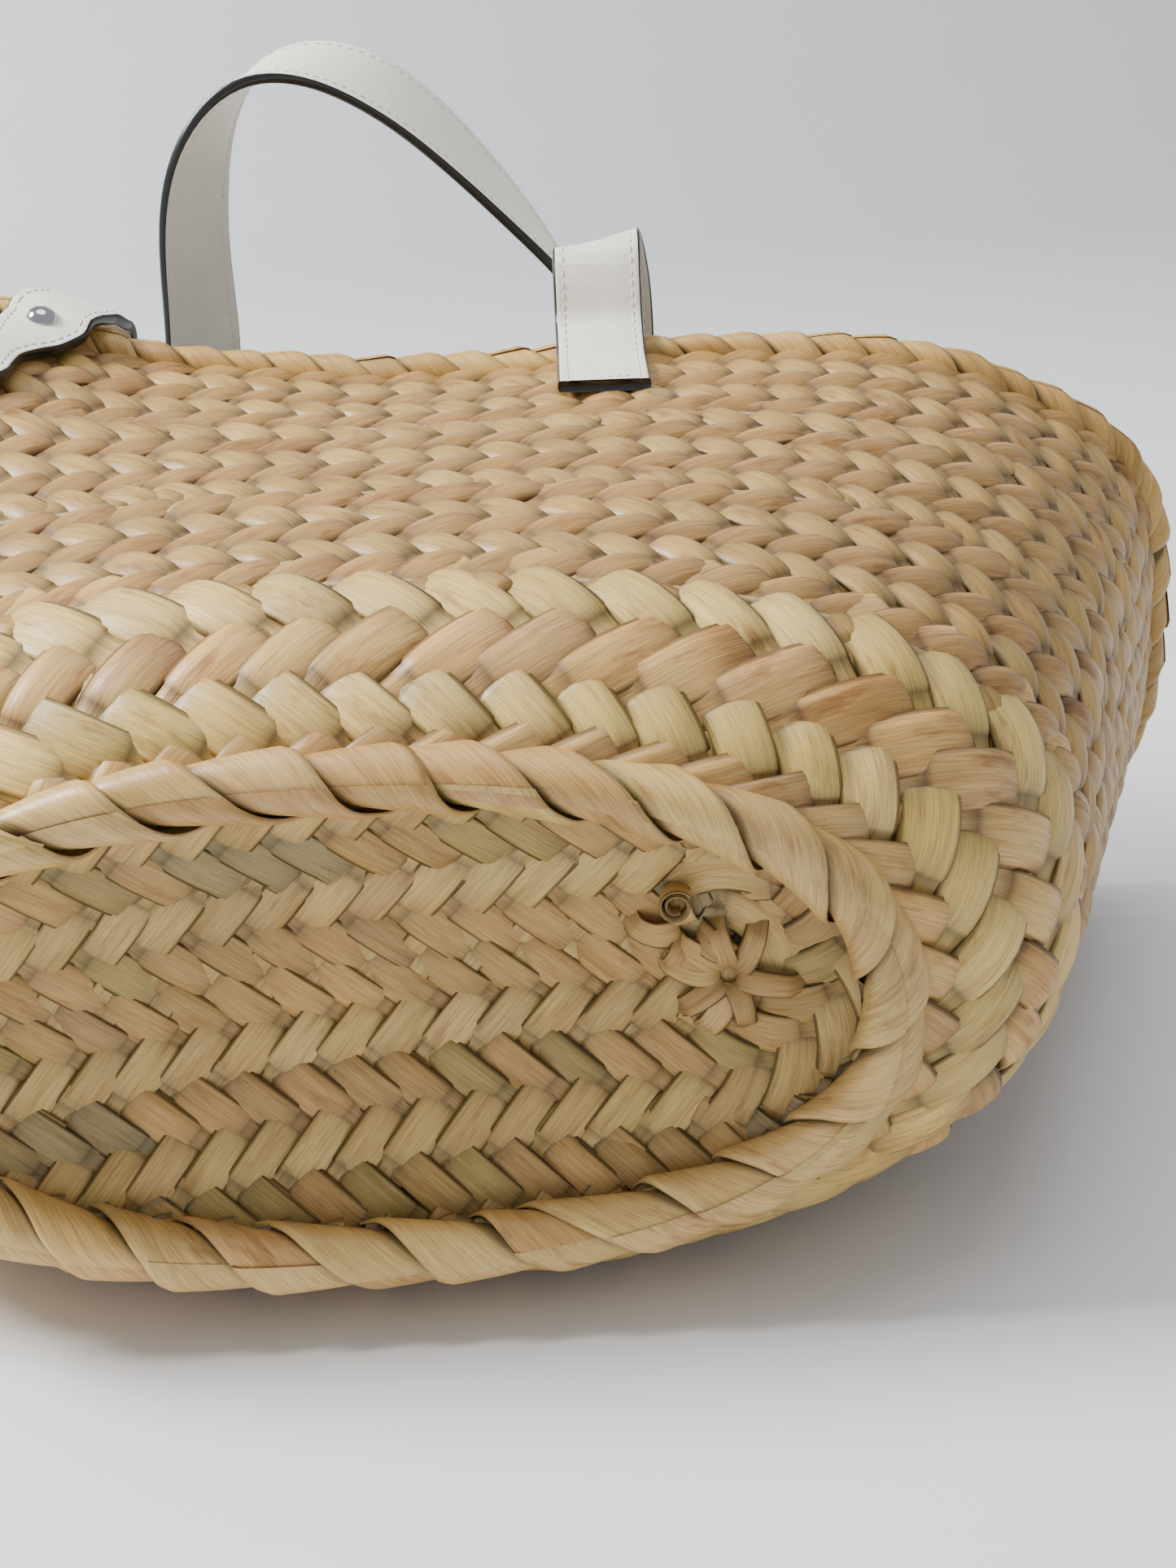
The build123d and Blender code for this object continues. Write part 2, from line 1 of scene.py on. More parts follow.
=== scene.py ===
import math
import bpy
import numpy as np
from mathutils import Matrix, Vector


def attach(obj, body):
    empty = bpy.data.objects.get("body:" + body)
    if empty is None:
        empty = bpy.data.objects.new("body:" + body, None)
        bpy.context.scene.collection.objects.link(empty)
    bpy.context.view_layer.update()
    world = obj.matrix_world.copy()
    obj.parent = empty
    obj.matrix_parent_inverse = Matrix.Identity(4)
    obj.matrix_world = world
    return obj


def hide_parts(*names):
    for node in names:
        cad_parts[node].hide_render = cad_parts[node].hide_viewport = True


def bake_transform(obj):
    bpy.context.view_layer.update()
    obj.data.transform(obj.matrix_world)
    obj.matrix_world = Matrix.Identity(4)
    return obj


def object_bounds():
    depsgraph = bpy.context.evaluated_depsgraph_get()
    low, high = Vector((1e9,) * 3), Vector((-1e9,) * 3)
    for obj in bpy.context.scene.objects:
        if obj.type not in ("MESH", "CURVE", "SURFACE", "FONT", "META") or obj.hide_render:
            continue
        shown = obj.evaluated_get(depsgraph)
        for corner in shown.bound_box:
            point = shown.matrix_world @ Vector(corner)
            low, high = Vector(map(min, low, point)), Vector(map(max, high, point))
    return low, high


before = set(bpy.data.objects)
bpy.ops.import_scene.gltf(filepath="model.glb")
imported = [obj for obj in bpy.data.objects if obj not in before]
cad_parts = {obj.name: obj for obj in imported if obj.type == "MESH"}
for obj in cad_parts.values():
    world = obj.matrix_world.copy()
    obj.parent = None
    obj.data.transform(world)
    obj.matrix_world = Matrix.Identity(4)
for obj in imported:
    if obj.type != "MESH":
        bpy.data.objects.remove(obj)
cad_low, cad_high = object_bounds()
cad_low, cad_high = [float(v) for v in cad_low], [float(v) for v in cad_high]
rng = np.random.default_rng(635)

# bag coordinates in millimetres (X along the bag, Y base to mouth, Z up) -> frame in metres
ORIGIN = np.array([0.0, 152.6, 0.4])


def metres(p):
    return (np.asarray(p, float) - ORIGIN) / 1000.0


def unit(v):
    v = np.asarray(v, float)
    return v / np.maximum(np.linalg.norm(v, axis=-1, keepdims=True), 1e-9)


def smooth(x, xs, fs):
    """Shape-preserving cubic, the same one as the part's source uses."""
    xs, fs = np.asarray(xs, float), np.asarray(fs, float)
    h = np.diff(xs)
    d = np.diff(fs) / h
    m = np.zeros_like(fs)
    m[0], m[-1] = d[0], d[-1]
    for i in range(1, len(xs) - 1):
        if d[i - 1] * d[i] > 0:
            w1, w2 = 2 * h[i] + h[i - 1], h[i] + 2 * h[i - 1]
            m[i] = (w1 + w2) / (w1 / d[i - 1] + w2 / d[i])
    x = np.asarray(x, float)
    i = np.clip(np.searchsorted(xs, x, side="right") - 1, 0, len(xs) - 2)
    t = (x - xs[i]) / h[i]
    return ((2 * t**3 - 3 * t**2 + 1) * fs[i] + (t**3 - 2 * t**2 + t) * h[i] * m[i]
            + (-2 * t**3 + 3 * t**2) * fs[i + 1] + (t**3 - t**2) * h[i] * m[i + 1])


# ---------------------------------------------------------------- bag surface
ST = np.array([
    (0, 124, 146, 23), (1.5, 134, 151.5, 18), (6, 146, 158.5, 12), (13, 157, 166.5, 7),
    (22, 166, 173.5, 3.6), (32, 172.5, 179, 1.4), (42, 177.5, 182.3, 0.4), (57, 183.5, 184.6, 0.0),
    (90, 196, 187.8, 0.0), (135, 213, 192, 0.7), (185, 232, 196.5, 3.4), (238, 251, 201, 7.8)], float)
ARC = np.concatenate([[0], np.cumsum(np.hypot(np.diff(ST[:, 0]), np.diff(ST[:, 1])))])
WX = [-260, -235, -205, -170, -145, -122, -112, -95, -83, -70, -57, -30, -4, 22, 49, 75, 128, 155, 182, 205, 260]
WZ = [0, 2, 14, 30, 32, 26, 20, 13.2, 8.4, 5.2, 3.2, 0, -2.7, -3, -2, 0, 2, 3.2, 3, 0, 0]
V_END = float(ARC[-1])


def shape_at(y):
    return [smooth(y, ST[:, 0], ST[:, k]) for k in (1, 2, 3)]


def lift(x, y):
    w = np.clip((y - 70) / 168, 0, 1)
    return smooth(np.clip(x, -259.9, 259.9), WX, WZ) * w * w * (3 - 2 * w)


def wall_z(x, y, top=True):
    yy = np.clip(y, 0, 238)
    a, zt, zb = shape_at(yy)
    n = 2.3 + (0.94 if top else 1.0) * yy / 238
    zc, b = (zt + zb) / 2, (zt - zb) / 2
    q = (1 - np.minimum(abs(x / a), 0.999) ** n) ** (1 / n)
    return zc + b * q + lift(x, yy) * q**0.7 if top else zc - b * q


NV, NT, NU = 141, 1441, 720
_v = np.linspace(0, V_END, NV)
_th = np.pi / 2 - np.linspace(0, 2 * np.pi, NT)          # from the top, clockwise seen from the base


def raw_surface(v, th):
    y = smooth(v, ARC, ST[:, 0])
    a, zt, zb = shape_at(y)
    c, s = np.cos(th), np.sin(th)
    n = np.where(s >= 0, 2.3 + 0.94 * y / 238, 2.3 + 1.0 * y / 238)
    zc, b = (zt + zb) / 2, (zt - zb) / 2
    x = a * np.sign(c) * abs(c) ** (2 / n)
    z = b * np.sign(s) * abs(s) ** (2 / n)
    z = z + lift(x, y) * np.clip(z / b, 0, 1) ** 0.7 * (z > 0)
    return np.stack([x + 0 * y, y + 0 * x, zc + z], -1)


SURF = np.zeros((NV, NU + 1, 3))
PERIM = np.zeros(NV)
for i in range(NV):
    p = raw_surface(_v[i], _th)
    s = np.concatenate([[0], np.cumsum(np.linalg.norm(np.diff(p, axis=0), axis=1))])
    PERIM[i] = s[-1]
    t = np.linspace(0, s[-1], NU + 1)
    for k in range(3):
        SURF[i, :, k] = np.interp(t, s, p[:, k])
SURF[:, -1] = SURF[:, 0]
# soften the sampling a little round the body
for _ in range(2):
    core = SURF[:, :-1]
    SURF[:, :-1] = 0.5 * core + 0.25 * (np.roll(core, 1, 1) + np.roll(core, -1, 1))
    SURF[:, -1] = SURF[:, 0]
_du = np.roll(SURF[:, :-1], -1, 1) - np.roll(SURF[:, :-1], 1, 1)
_dv = np.gradient(SURF[:, :-1], axis=0)
_nn = unit(np.cross(_dv, _du))
_mid = SURF[:, :-1].mean(axis=1, keepdims=True)
if ((SURF[:, :-1] - _mid) * _nn).sum() < 0:
    _nn = -_nn
NORM = np.concatenate([_nn, _nn[:, :1]], 1)


def side(v, u):
    """Point and outward normal of the side at arc length v from the base and fraction u round it."""
    v, u = np.broadcast_arrays(np.asarray(v, float), np.asarray(u, float))
    over = np.minimum(v, 0) + np.maximum(v - V_END, 0)
    fv = np.clip(v, 0, V_END) / V_END * (NV - 1)
    i = np.clip(fv.astype(int), 0, NV - 2)
    a = (fv - i)[..., None]
    fu = (u % 1.0) * NU
    j = np.clip(fu.astype(int), 0, NU - 1)
    b = (fu - j)[..., None]

    def bil(t):
        return ((1 - a) * ((1 - b) * t[i, j] + b * t[i, j + 1]) + a * ((1 - b) * t[i + 1, j] + b * t[i + 1, j + 1]))
    p, n = bil(SURF), unit(bil(NORM))
    return p, n, over


# ---------------------------------------------------------------- mesh building
class Mesh:
    """Collects vertices, faces and per-vertex data, in millimetres."""

    def __init__(self):
        self.v, self.f, self.col, self.fib, self.mat, self.n = [], [], [], [], [], 0

    def add(self, v, f, col, fib, mat=0):
        self.v.append(v)
        self.f.append(np.asarray(f) + self.n)
        self.col.append(col)
        self.fib.append(fib)
        self.mat.append(np.full(len(f), mat, int))
        self.n += len(v)

    def make(self, name, materials, body="basket", smooth_shade=True):
        raw = np.concatenate(self.v)
        raw[:, 2] = np.maximum(raw[:, 2], 0.45)          # pressed flat where it rests on the table
        v = metres(raw)
        f = np.concatenate(self.f)
        me = bpy.data.meshes.new(name)
        me.vertices.add(len(v))
        me.vertices.foreach_set("co", v.astype(np.float32).ravel())
        quad = f[:, 3] >= 0
        sizes = np.where(quad, 4, 3)
        me.loops.add(int(sizes.sum()))
        loops = f.ravel()
        loops = loops[loops >= 0]
        me.loops.foreach_set("vertex_index", loops.astype(np.int32))
        me.polygons.add(len(f))
        starts = np.concatenate([[0], np.cumsum(sizes)[:-1]])
        me.polygons.foreach_set("loop_start", starts.astype(np.int32))
        me.polygons.foreach_set("loop_total", sizes.astype(np.int32))
        me.polygons.foreach_set("material_index", np.concatenate(self.mat).astype(np.int32))
        me.polygons.foreach_set("use_smooth", np.full(len(f), smooth_shade))
        me.update(calc_edges=True)
        me.validate()
        col = np.concatenate(self.col)
        a = me.attributes.new("tint", "FLOAT_COLOR", "POINT")
        a.data.foreach_set("color", np.concatenate([col, np.ones((len(col), 1))], 1).astype(np.float32).ravel())
        fib = np.concatenate(self.fib)
        a = me.attributes.new("fibre", "FLOAT_VECTOR", "POINT")
        a.data.foreach_set("vector", fib.astype(np.float32).ravel())
        for m in materials:
            me.materials.append(m)
        o = bpy.data.objects.new(name, me)
        bpy.context.scene.collection.objects.link(o)
        if body:
            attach(o, body)
        return o


def ribbons(mesh, C, N, width, z, roll, tint, ident, crown=0.7, thick=0.55, ply=0.45, ply_side=1, s0=0.0, closed=False, mat=0, shade=None, twist=None):
    """A leaf strip: C centre line (K,3), N surface normal (K,3), width (K,), z height over the surface (K,)."""
    K = len(C)
    T = unit(np.gradient(C, axis=0))
    W = unit(np.cross(T, N))
    NN = unit(np.cross(W, T))
    q = np.array([-1.0, -0.86, -0.82, -0.45, 0.0, 0.45, 0.84, 1.0, 0.93, -0.93])
    if ply_side < 0:
        q = np.array([-1.0, -0.84, -0.45, 0.0, 0.45, 0.82, 0.86, 1.0, 0.93, -0.93])
    h = -crown * q**2 * (0.55 + 0.45 * abs(q))
    step = np.zeros(10)
    if ply_side > 0:
        step[:2] = -ply
    else:
        step[6:8] = -ply
    h = h + step
    h[8] = h[7] - thick * 0.8
    h[9] = h[0] - thick * 0.8
    half = (np.broadcast_to(width, (K,)) / 2)[:, None]
    r = np.broadcast_to(roll, (K,))[:, None]
    x = half * q[None, :]
    y = h[None, :] + z[:, None]
    x2 = x * np.cos(r)
    y2 = y + x * np.sin(r)
    P = C[:, None, :] + W[:, None, :] * x2[..., None] + NN[:, None, :] * y2[..., None]
    M = len(q)
    v = P.reshape(-1, 3)
    idx = np.arange(K * M).reshape(K, M)
    a = idx[:-1, :]
    b = idx[1:, :]
    a2 = np.roll(a, -1, 1)
    b2 = np.roll(b, -1, 1)
    f = np.stack([a, a2, b2, b], -1).reshape(-1, 4)
    caps = []
    for row in (idx[0], idx[-1][::-1]):
        caps += [[row[0], row[1], row[8], row[9]][::-1], [row[1], row[2], row[7], row[8]][::-1], [row[2], row[3], row[6], row[7]][::-1], [row[3], row[4], row[5], row[6]][::-1]] if row[0] == idx[0][0] else \
                [[row[9], row[8], row[1], row[0]], [row[8], row[7], row[2], row[1]], [row[7], row[6], row[3], row[2]], [row[6], row[5], row[4], row[3]]]
    f = np.concatenate([f, np.array(caps)])
    s = s0 + np.concatenate([[0], np.cumsum(np.linalg.norm(np.diff(C, axis=0), axis=1))])
    sh = np.ones(K) if shade is None else shade
    # painted shade: each strip's top edges, its ply line and its lower side walls are darkened, standing in for the
    # shade in the gaps and creases between strips
    edge = np.ones(M)
    edge[[0, 7]] = 0.22
    edge[[8, 9]] = 0.85
    edge[1 if ply_side > 0 else 6] = 0.55
    if sh.ndim == 1:
        sh = np.repeat(sh[:, None], 3, 1)
    col = np.asarray(tint)[None, None, :] * sh[:, None, :] * edge[None, :, None]
    fib = np.zeros((K, M, 3))
    fib[..., 0] = x
    fib[..., 1] = s[:, None]
    fib[..., 2] = ident
    mesh.add(v, f, col.reshape(-1, 3), fib.reshape(-1, 3), mat)


# ---------------------------------------------------------------- materials
def new_mat(name, rough=0.5, spec=0.5):
    m = bpy.data.materials.new(name)
    m.use_nodes = True
    nt = m.node_tree
    b = nt.nodes["Principled BSDF"]
    b.inputs["Roughness"].default_value = rough
    b.inputs["Specular IOR Level"].default_value = spec
    return m, nt, b


def node(nt, kind, **kw):
    n = nt.nodes.new(kind)
    for k, v in kw.items():
        if k in n.inputs:
            n.inputs[k].default_value = v
        else:
            setattr(n, k, v)
    return n


def leaf_material(name, rough=0.42, speck=1.0, fibre=1.0, bump=0.5):
    """Dried palm leaf: tint from the strip, fine ribs along it, brown specks and smudges."""
    m, nt, b = new_mat(name, rough, 0.45)
    L = nt.links
    tint = node(nt, "ShaderNodeAttribute", attribute_name="tint")
    fib = node(nt, "ShaderNodeAttribute", attribute_name="fibre")

    def noise(scale_vec, scale, detail, rough_=0.5):
        mp = node(nt, "ShaderNodeMapping")
        mp.inputs["Scale"].default_value = scale_vec
        L.new(fib.outputs["Vector"], mp.inputs["Vector"])
        n = node(nt, "ShaderNodeTexNoise")
        n.inputs["Scale"].default_value = scale
        n.inputs["Detail"].default_value = detail
        n.inputs["Roughness"].default_value = rough_
        L.new(mp.outputs["Vector"], n.inputs["Vector"])
        return n

    def ramp(src, stops):
        r = node(nt, "ShaderNodeValToRGB")
        e = r.color_ramp.elements
        while len(e) < len(stops):
            e.new(0.5)
        for el, (p, c) in zip(e, stops):
            el.position = p
            el.color = (c, c, c, 1) if not isinstance(c, tuple) else (*c, 1)
        L.new(src, r.inputs["Fac"])
        return r

    def mul(a, b_, fac=1.0):
        mx = node(nt, "ShaderNodeMix", data_type="RGBA", blend_type="MULTIPLY")
        mx.inputs[0].default_value = fac
        L.new(a, mx.inputs[6])
        L.new(b_, mx.inputs[7])
        return mx.outputs[2]

    ribs = noise((1.0, 0.035, 1.0), 2.6, 3.0, 0.62)          # fine ribs, about 0.4 mm
    broad = noise((1.0, 0.09, 1.0), 0.42, 2.0, 0.5)          # broad tone bands along the leaf
    c = mul(tint.outputs["Color"], ramp(ribs.outputs["Fac"], [(0.3, (0.70, 0.655, 0.57)), (0.52, (1.0, 1.0, 1.0)), (0.72, (1.22, 1.21, 1.18))]).outputs["Color"], fibre)
    c = mul(c, ramp(broad.outputs["Fac"], [(0.28, (0.86, 0.80, 0.72)), (0.5, (1.0, 1.0, 1.0)), (0.74, (1.05, 1.06, 1.03))]).outputs["Color"])
    spots = noise((1.0, 0.5, 1.0), 1.5, 2.0, 0.55)           # specks
    c = mul(c, ramp(spots.outputs["Fac"], [(0.16, (1, 1, 1)), (0.70, (1, 1, 1)), (0.765, (0.62, 0.47, 0.33))]).outputs["Color"], 0.75 * speck)
    smudge = noise((1.0, 0.28, 1.0), 0.16, 3.0, 0.7)
    c = mul(c, ramp(smudge.outputs["Fac"], [(0.0, (1, 1, 1)), (0.55, (1, 1, 1)), (0.70, (0.55, 0.40, 0.29))]).outputs["Color"], 0.8 * speck)
    L.new(c, b.inputs["Base Color"])
    rr = ramp(broad.outputs["Fac"], [(0.3, rough + 0.1), (0.7, rough - 0.07)])
    L.new(rr.outputs["Color"], b.inputs["Roughness"])
    bp = node(nt, "ShaderNodeBump")
    bp.inputs["Strength"].default_value = bump
    bp.inputs["Distance"].default_value = 0.00022
    L.new(ribs.outputs["Fac"], bp.inputs["Height"])
    L.new(bp.outputs["Normal"], b.inputs["Normal"])
    return m


palm = leaf_material("palm_leaf_side")
palm_base = leaf_material("palm_leaf_base", rough=0.5, speck=0.6)
palm_ring = leaf_material("palm_leaf_ring", rough=0.36, speck=0.8, fibre=1.0)
palm_rim = leaf_material("palm_leaf_rim", rough=0.4, speck=0.7)

LIN = lambda r, g, b: tuple((np.array([r, g, b]) / 255.0) ** 2.2)
CREAM = [LIN(214, 198, 160), LIN(208, 192, 150), LIN(219, 203, 167), LIN(203, 188, 147), LIN(214, 196, 152)]
TAN = [LIN(205, 178, 140), LIN(200, 170, 134), LIN(207, 181, 146), LIN(196, 168, 130), LIN(203, 174, 141)]
PINK = [LIN(206, 180, 150), LIN(202, 175, 146), LIN(209, 184, 155), LIN(198, 172, 141)]


def pick(colours, spread=0.07):
    c = np.array(colours[rng.integers(len(colours))]) * (0.86, 0.75, 0.47)
    return c * (1 + rng.normal(0, spread)) * np.array([1, 1 + rng.normal(0, 0.012), 1 + rng.normal(0, 0.03)])


# ---------------------------------------------------------------- twill braid
OVER = np.array([0.0, 0.05, 0.13, 0.27, 0.45, 0.63, 0.79, 0.91, 0.97])
UNDER = np.array([0.0, 0.14, 0.38, 0.62, 0.86])


def over_under(t, first_over, rise, dip):
    """Height of a strip at row phase t: over in every second row, under in the others."""
    row = np.floor(t).astype(int)
    fr = t - row
    over = (row % 2) == first_over
    arch = np.sin(np.pi * np.clip(fr, 0, 1))
    return np.where(over, rise * arch**0.62, -dip * arch**0.55), over, fr


def phases(t0, t1, first_over):
    out = []
    for r in range(int(math.floor(t0)), int(math.ceil(t1)) + 1):
        for f in (OVER if r % 2 == first_over else UNDER):
            t = r + f
            if t0 - 1e-6 <= t <= t1 + 1e-6:
                out.append(t)
    if out[0] > t0 + 0.03:
        out.insert(0, t0)
    if out[-1] < t1 - 0.03:
        out.append(t1)
    return np.array(out)


# courses of the side: arc span, rows, columns; first_row is 0 where "/" strips lie on top
SEAMS = [0.0, float(smooth(42.0, ST[:, 0], ARC)), float(smooth(107.3, ST[:, 0], ARC)),
         float(smooth(172.4, ST[:, 0], ARC)), V_END - 2.0]
COURSES = [
    dict(name="weave_course_1", node="side_course_1", v=(SEAMS[0] - 3.0, SEAMS[1] + 1.0), rows=4, n=44, first=0, inset=1.5),
    dict(name="weave_course_2", node="side_course_2", v=(SEAMS[1], SEAMS[2]), rows=5, n=62, first=0, inset=1.6),
    dict(name="weave_course_3", node="side_course_3", v=(SEAMS[2], SEAMS[3]), rows=5, n=72, first=1, inset=1.6),
    dict(name="weave_course_4", node="side_course_4", v=(SEAMS[3], SEAMS[4]), rows=5, n=80, first=0, inset=1.6),
]


def course_mesh(c, index):
    mesh = Mesh()
    v0, v1 = c["v"]
    R, n = c["rows"], c["n"]
    h = (v1 - v0) / R
    vm = (v0 + v1) / 2
    for fam in (0, 1):
        # family 0 climbs with u ("/"), family 1 falls with u ("\"); which rows they top alternates
        first_over = c["first"] if fam == 0 else 1 - c["first"]
        for j in range(n):
            lo = -0.55 if index > 0 else -0.35
            hi = R + (0.5 if index < 3 else 0.05)
            t = phases(lo, hi, first_over)
            sgn = 1 if fam == 0 else -1
            wob = rng.normal(0, 0.035, 4)
            col = j + sgn * t + wob[0] + wob[1] * np.sin(t * 1.3 + wob[2] * 40)
            v = v0 + h * t
            P, N, over_edge = side(v, col / n)
            wild = np.clip((P[:, 0] - 120) / 60, 0, 1) * np.clip(1.2 - v / 120, 0, 1)
            big = 2.1 if index == 0 else (1.9 if index == 1 else 1.7)
            z, over, fr = over_under(t, first_over, big * (1 + 0.12 * rng.normal()), 1.25)
            z = z * (1 + 1.1 * wild * over)
            per = np.interp(np.clip(v, 0, V_END), _v, PERIM) / n
            w = per * h / np.hypot(per, h) * ((1.15 if index == 0 else 1.07) + rng.normal(0, 0.035))
            # strip ends tuck in under their neighbours
            tuck = np.clip(-t, 0, 1) * 3.0 + np.clip(t - R, 0, 1) * (3.0 if index < 3 else 1.0)
            P = P - N * (c["inset"] + tuck)[:, None]
            P = P + N * 0
            if v0 < 0:
                P[:, 1] += np.where(v < 0, -v * 0.0, 0)
            roll = rng.normal(0, 0.035) + ((0.15 if index == 0 else 0.19) if fam == 1 else (-0.15 if index == 0 else -0.19))
            # painted shade: each strip is darkened towards its crossings, where it dives under its neighbours
            dim = 1.0 - 0.66 * (1 - np.sin(np.pi * np.clip(fr, 0.0, 1.0)) ** np.where(over, 0.3 if index == 0 else 0.5, 0.5))
            tint = pick(TAN if rng.random() < 0.7 else PINK) if fam == 0 else pick(CREAM)
            # painted highlight: the lowest course is made brighter and warmer, standing in for the key light falling
            # on it
            if index == 0:
                tint = tint * (1.22, 1.17, 1.04)
            # brown scorch marks on some floats, strongest next to the foot ring
            dim = np.repeat(dim[:, None], 3, 1)
            if rng.random() < (0.75 if index == 0 else 0.4):
                spot, reach = rng.uniform(0, R), rng.uniform(0.12, 0.45)
                burn = np.exp(-((t - spot) / reach) ** 2) * rng.uniform(0.35, 0.85)
                dim = dim * (1 - burn[:, None] * np.array([0.42, 0.55, 0.66]))
            if index > 0:
                tint = (tint * 0.55 + 0.45 * pick(PINK)) * (0.86, 0.77, 0.60)
            ribbons(mesh, P, N, w, z, roll, tint, ident=float(rng.uniform(0, 400)), crown=(1.5 if index == 0 else 1.5) + rng.normal(0, 0.08),
                    ply=0.6 if index == 0 else 0.45, thick=0.9, ply_side=1 if rng.random() < 0.5 else -1, s0=float(rng.uniform(0, 300)), shade=dim)
    return mesh


for k, c in enumerate(COURSES):
    o = course_mesh(c, k).make(c["name"], [palm])
    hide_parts(c["node"])

# ---------------------------------------------------------------- base mat
MAT_A, MAT_ZC = 119.5, 84.5
MAT_B = 57.0
MAT_P = 12.7
EYE = np.array([76.0, 98.0])           # where the braid of the mat turns round
TILT = math.radians(5.0)


def mat_y(x, z):
    """Dish of the mat: distance from the foot plane at (x, z)."""
    rr = (abs(x / MAT_A) ** 2.3 + abs((z - MAT_ZC) / MAT_B) ** 2.3) ** (1 / 2.3)
    return np.interp(rr, [0, 0.1, 0.35, 0.6, 0.82, 1.0, 1.2], [21.5, 21.5, 19.5, 15.5, 10.2, 5.4, 2.0])


def mat_inside(x, z):
    return (abs(x / MAT_A) ** 2.3 + abs((z - MAT_ZC) / MAT_B) ** 2.3) ** (1 / 2.3)


def mat_point(vrow, w_, turn_cols):
    """Half-stadium: vrow is the distance out from the spine, w_ the column along it (0 at the turn)."""
    d = np.array([math.cos(TILT), math.sin(TILT)])
    nrm = np.array([-d[1], d[0]])
    r = vrow
    span = turn_cols
    ang = np.clip(w_ / span, 0, 1) * np.pi
    straight_in = np.minimum(w_, 0) * MAT_P
    straight_out = np.maximum(w_ - span, 0) * MAT_P
    x = EYE[0] + d[0] * (straight_in - straight_out) + r * (d[0] * np.sin(ang) - nrm[0] * np.cos(ang))
    z = EYE[1] + d[1] * (straight_in - straight_out) + r * (d[1] * np.sin(ang) - nrm[1] * np.cos(ang))
    return x, z


def mat_mesh():
    mesh = Mesh()
    rings = [(0.0, 2), (2.0, 2), (4.0, 3), (7.0, 3)]          # start in rows, rows
    for ri, (start, rows) in enumerate(rings):
        mid = (start + rows / 2) * MAT_P
        cols = max(3, int(round(math.pi * mid / MAT_P)))
        for fam in (0, 1):
            par = sum(r for _, r in rings[:ri]) % 2
            first_over = par if fam == 0 else 1 - par
            for j in range(-24, cols + 26):
                t = phases(-0.5, rows + 0.5, first_over)
                sgn = 1 if fam == 0 else -1
                col = j + sgn * t * 1.0 + rng.normal(0, 0.03)
                # from the spine outwards: t is negative inwards
                vr = (start + t) * MAT_P
                x, z = mat_point(vr, col, cols)
                keep = mat_inside(x, z) < 1.07
                if keep.sum() < 3:
                    continue
                i0, i1 = np.argmax(keep), len(keep) - np.argmax(keep[::-1])
                sl = slice(i0, i1)
                x, z, tt = x[sl], z[sl], t[sl]
                y = mat_y(x, z)
                e = 1.0
                nx = (mat_y(x + e, z) - mat_y(x - e, z)) / (2 * e)
                nz = (mat_y(x, z + e) - mat_y(x, z - e)) / (2 * e)
                N = unit(np.stack([nx, -np.ones_like(nx), nz], -1))
                P = np.stack([x, y, z], -1)
                zz, over, fr = over_under(tt, first_over, 0.85 + rng.normal(0, 0.08), 0.95)
                tuck = np.clip(-tt, 0, 1) * 2.0 + np.clip(tt - rows, 0, 1) * 2.0
                P = P - N * (0.6 + tuck)[:, None]
                w = MAT_P * 0.7071 * (1.21 + rng.normal(0, 0.03)) * np.ones(len(tt))
                # painted shade: each mat strip is darkened towards its crossings, where it dives under its neighbours
                dim = 1.0 * (1.0 - 0.55 * (1 - np.sin(np.pi * np.clip(fr, 0, 1)) ** np.where(over, 0.3, 0.5)))
                if fam == 0:
                    tint = pick([LIN(196, 166, 122), LIN(200, 168, 126), LIN(190, 162, 120), LIN(186, 160, 118), LIN(172, 156, 112)])
                    if (ri * 37 + j * 13) % 29 in (0, 13, 26):
                        tint = pick([LIN(170, 158, 132), LIN(176, 162, 134)]) * 0.9
                else:
                    tint = pick([LIN(208, 184, 140), LIN(204, 180, 136), LIN(212, 190, 146)])
                ribbons(mesh, P, N, w, zz, rng.normal(0, 0.03) + (0.1 if fam else -0.1), tint, ident=float(rng.uniform(0, 400)),
                        crown=0.5, ply=0.3, thick=0.45, ply_side=1 if rng.random() < 0.5 else -1,
                        s0=float(rng.uniform(0, 300)), shade=dim)
    return mesh


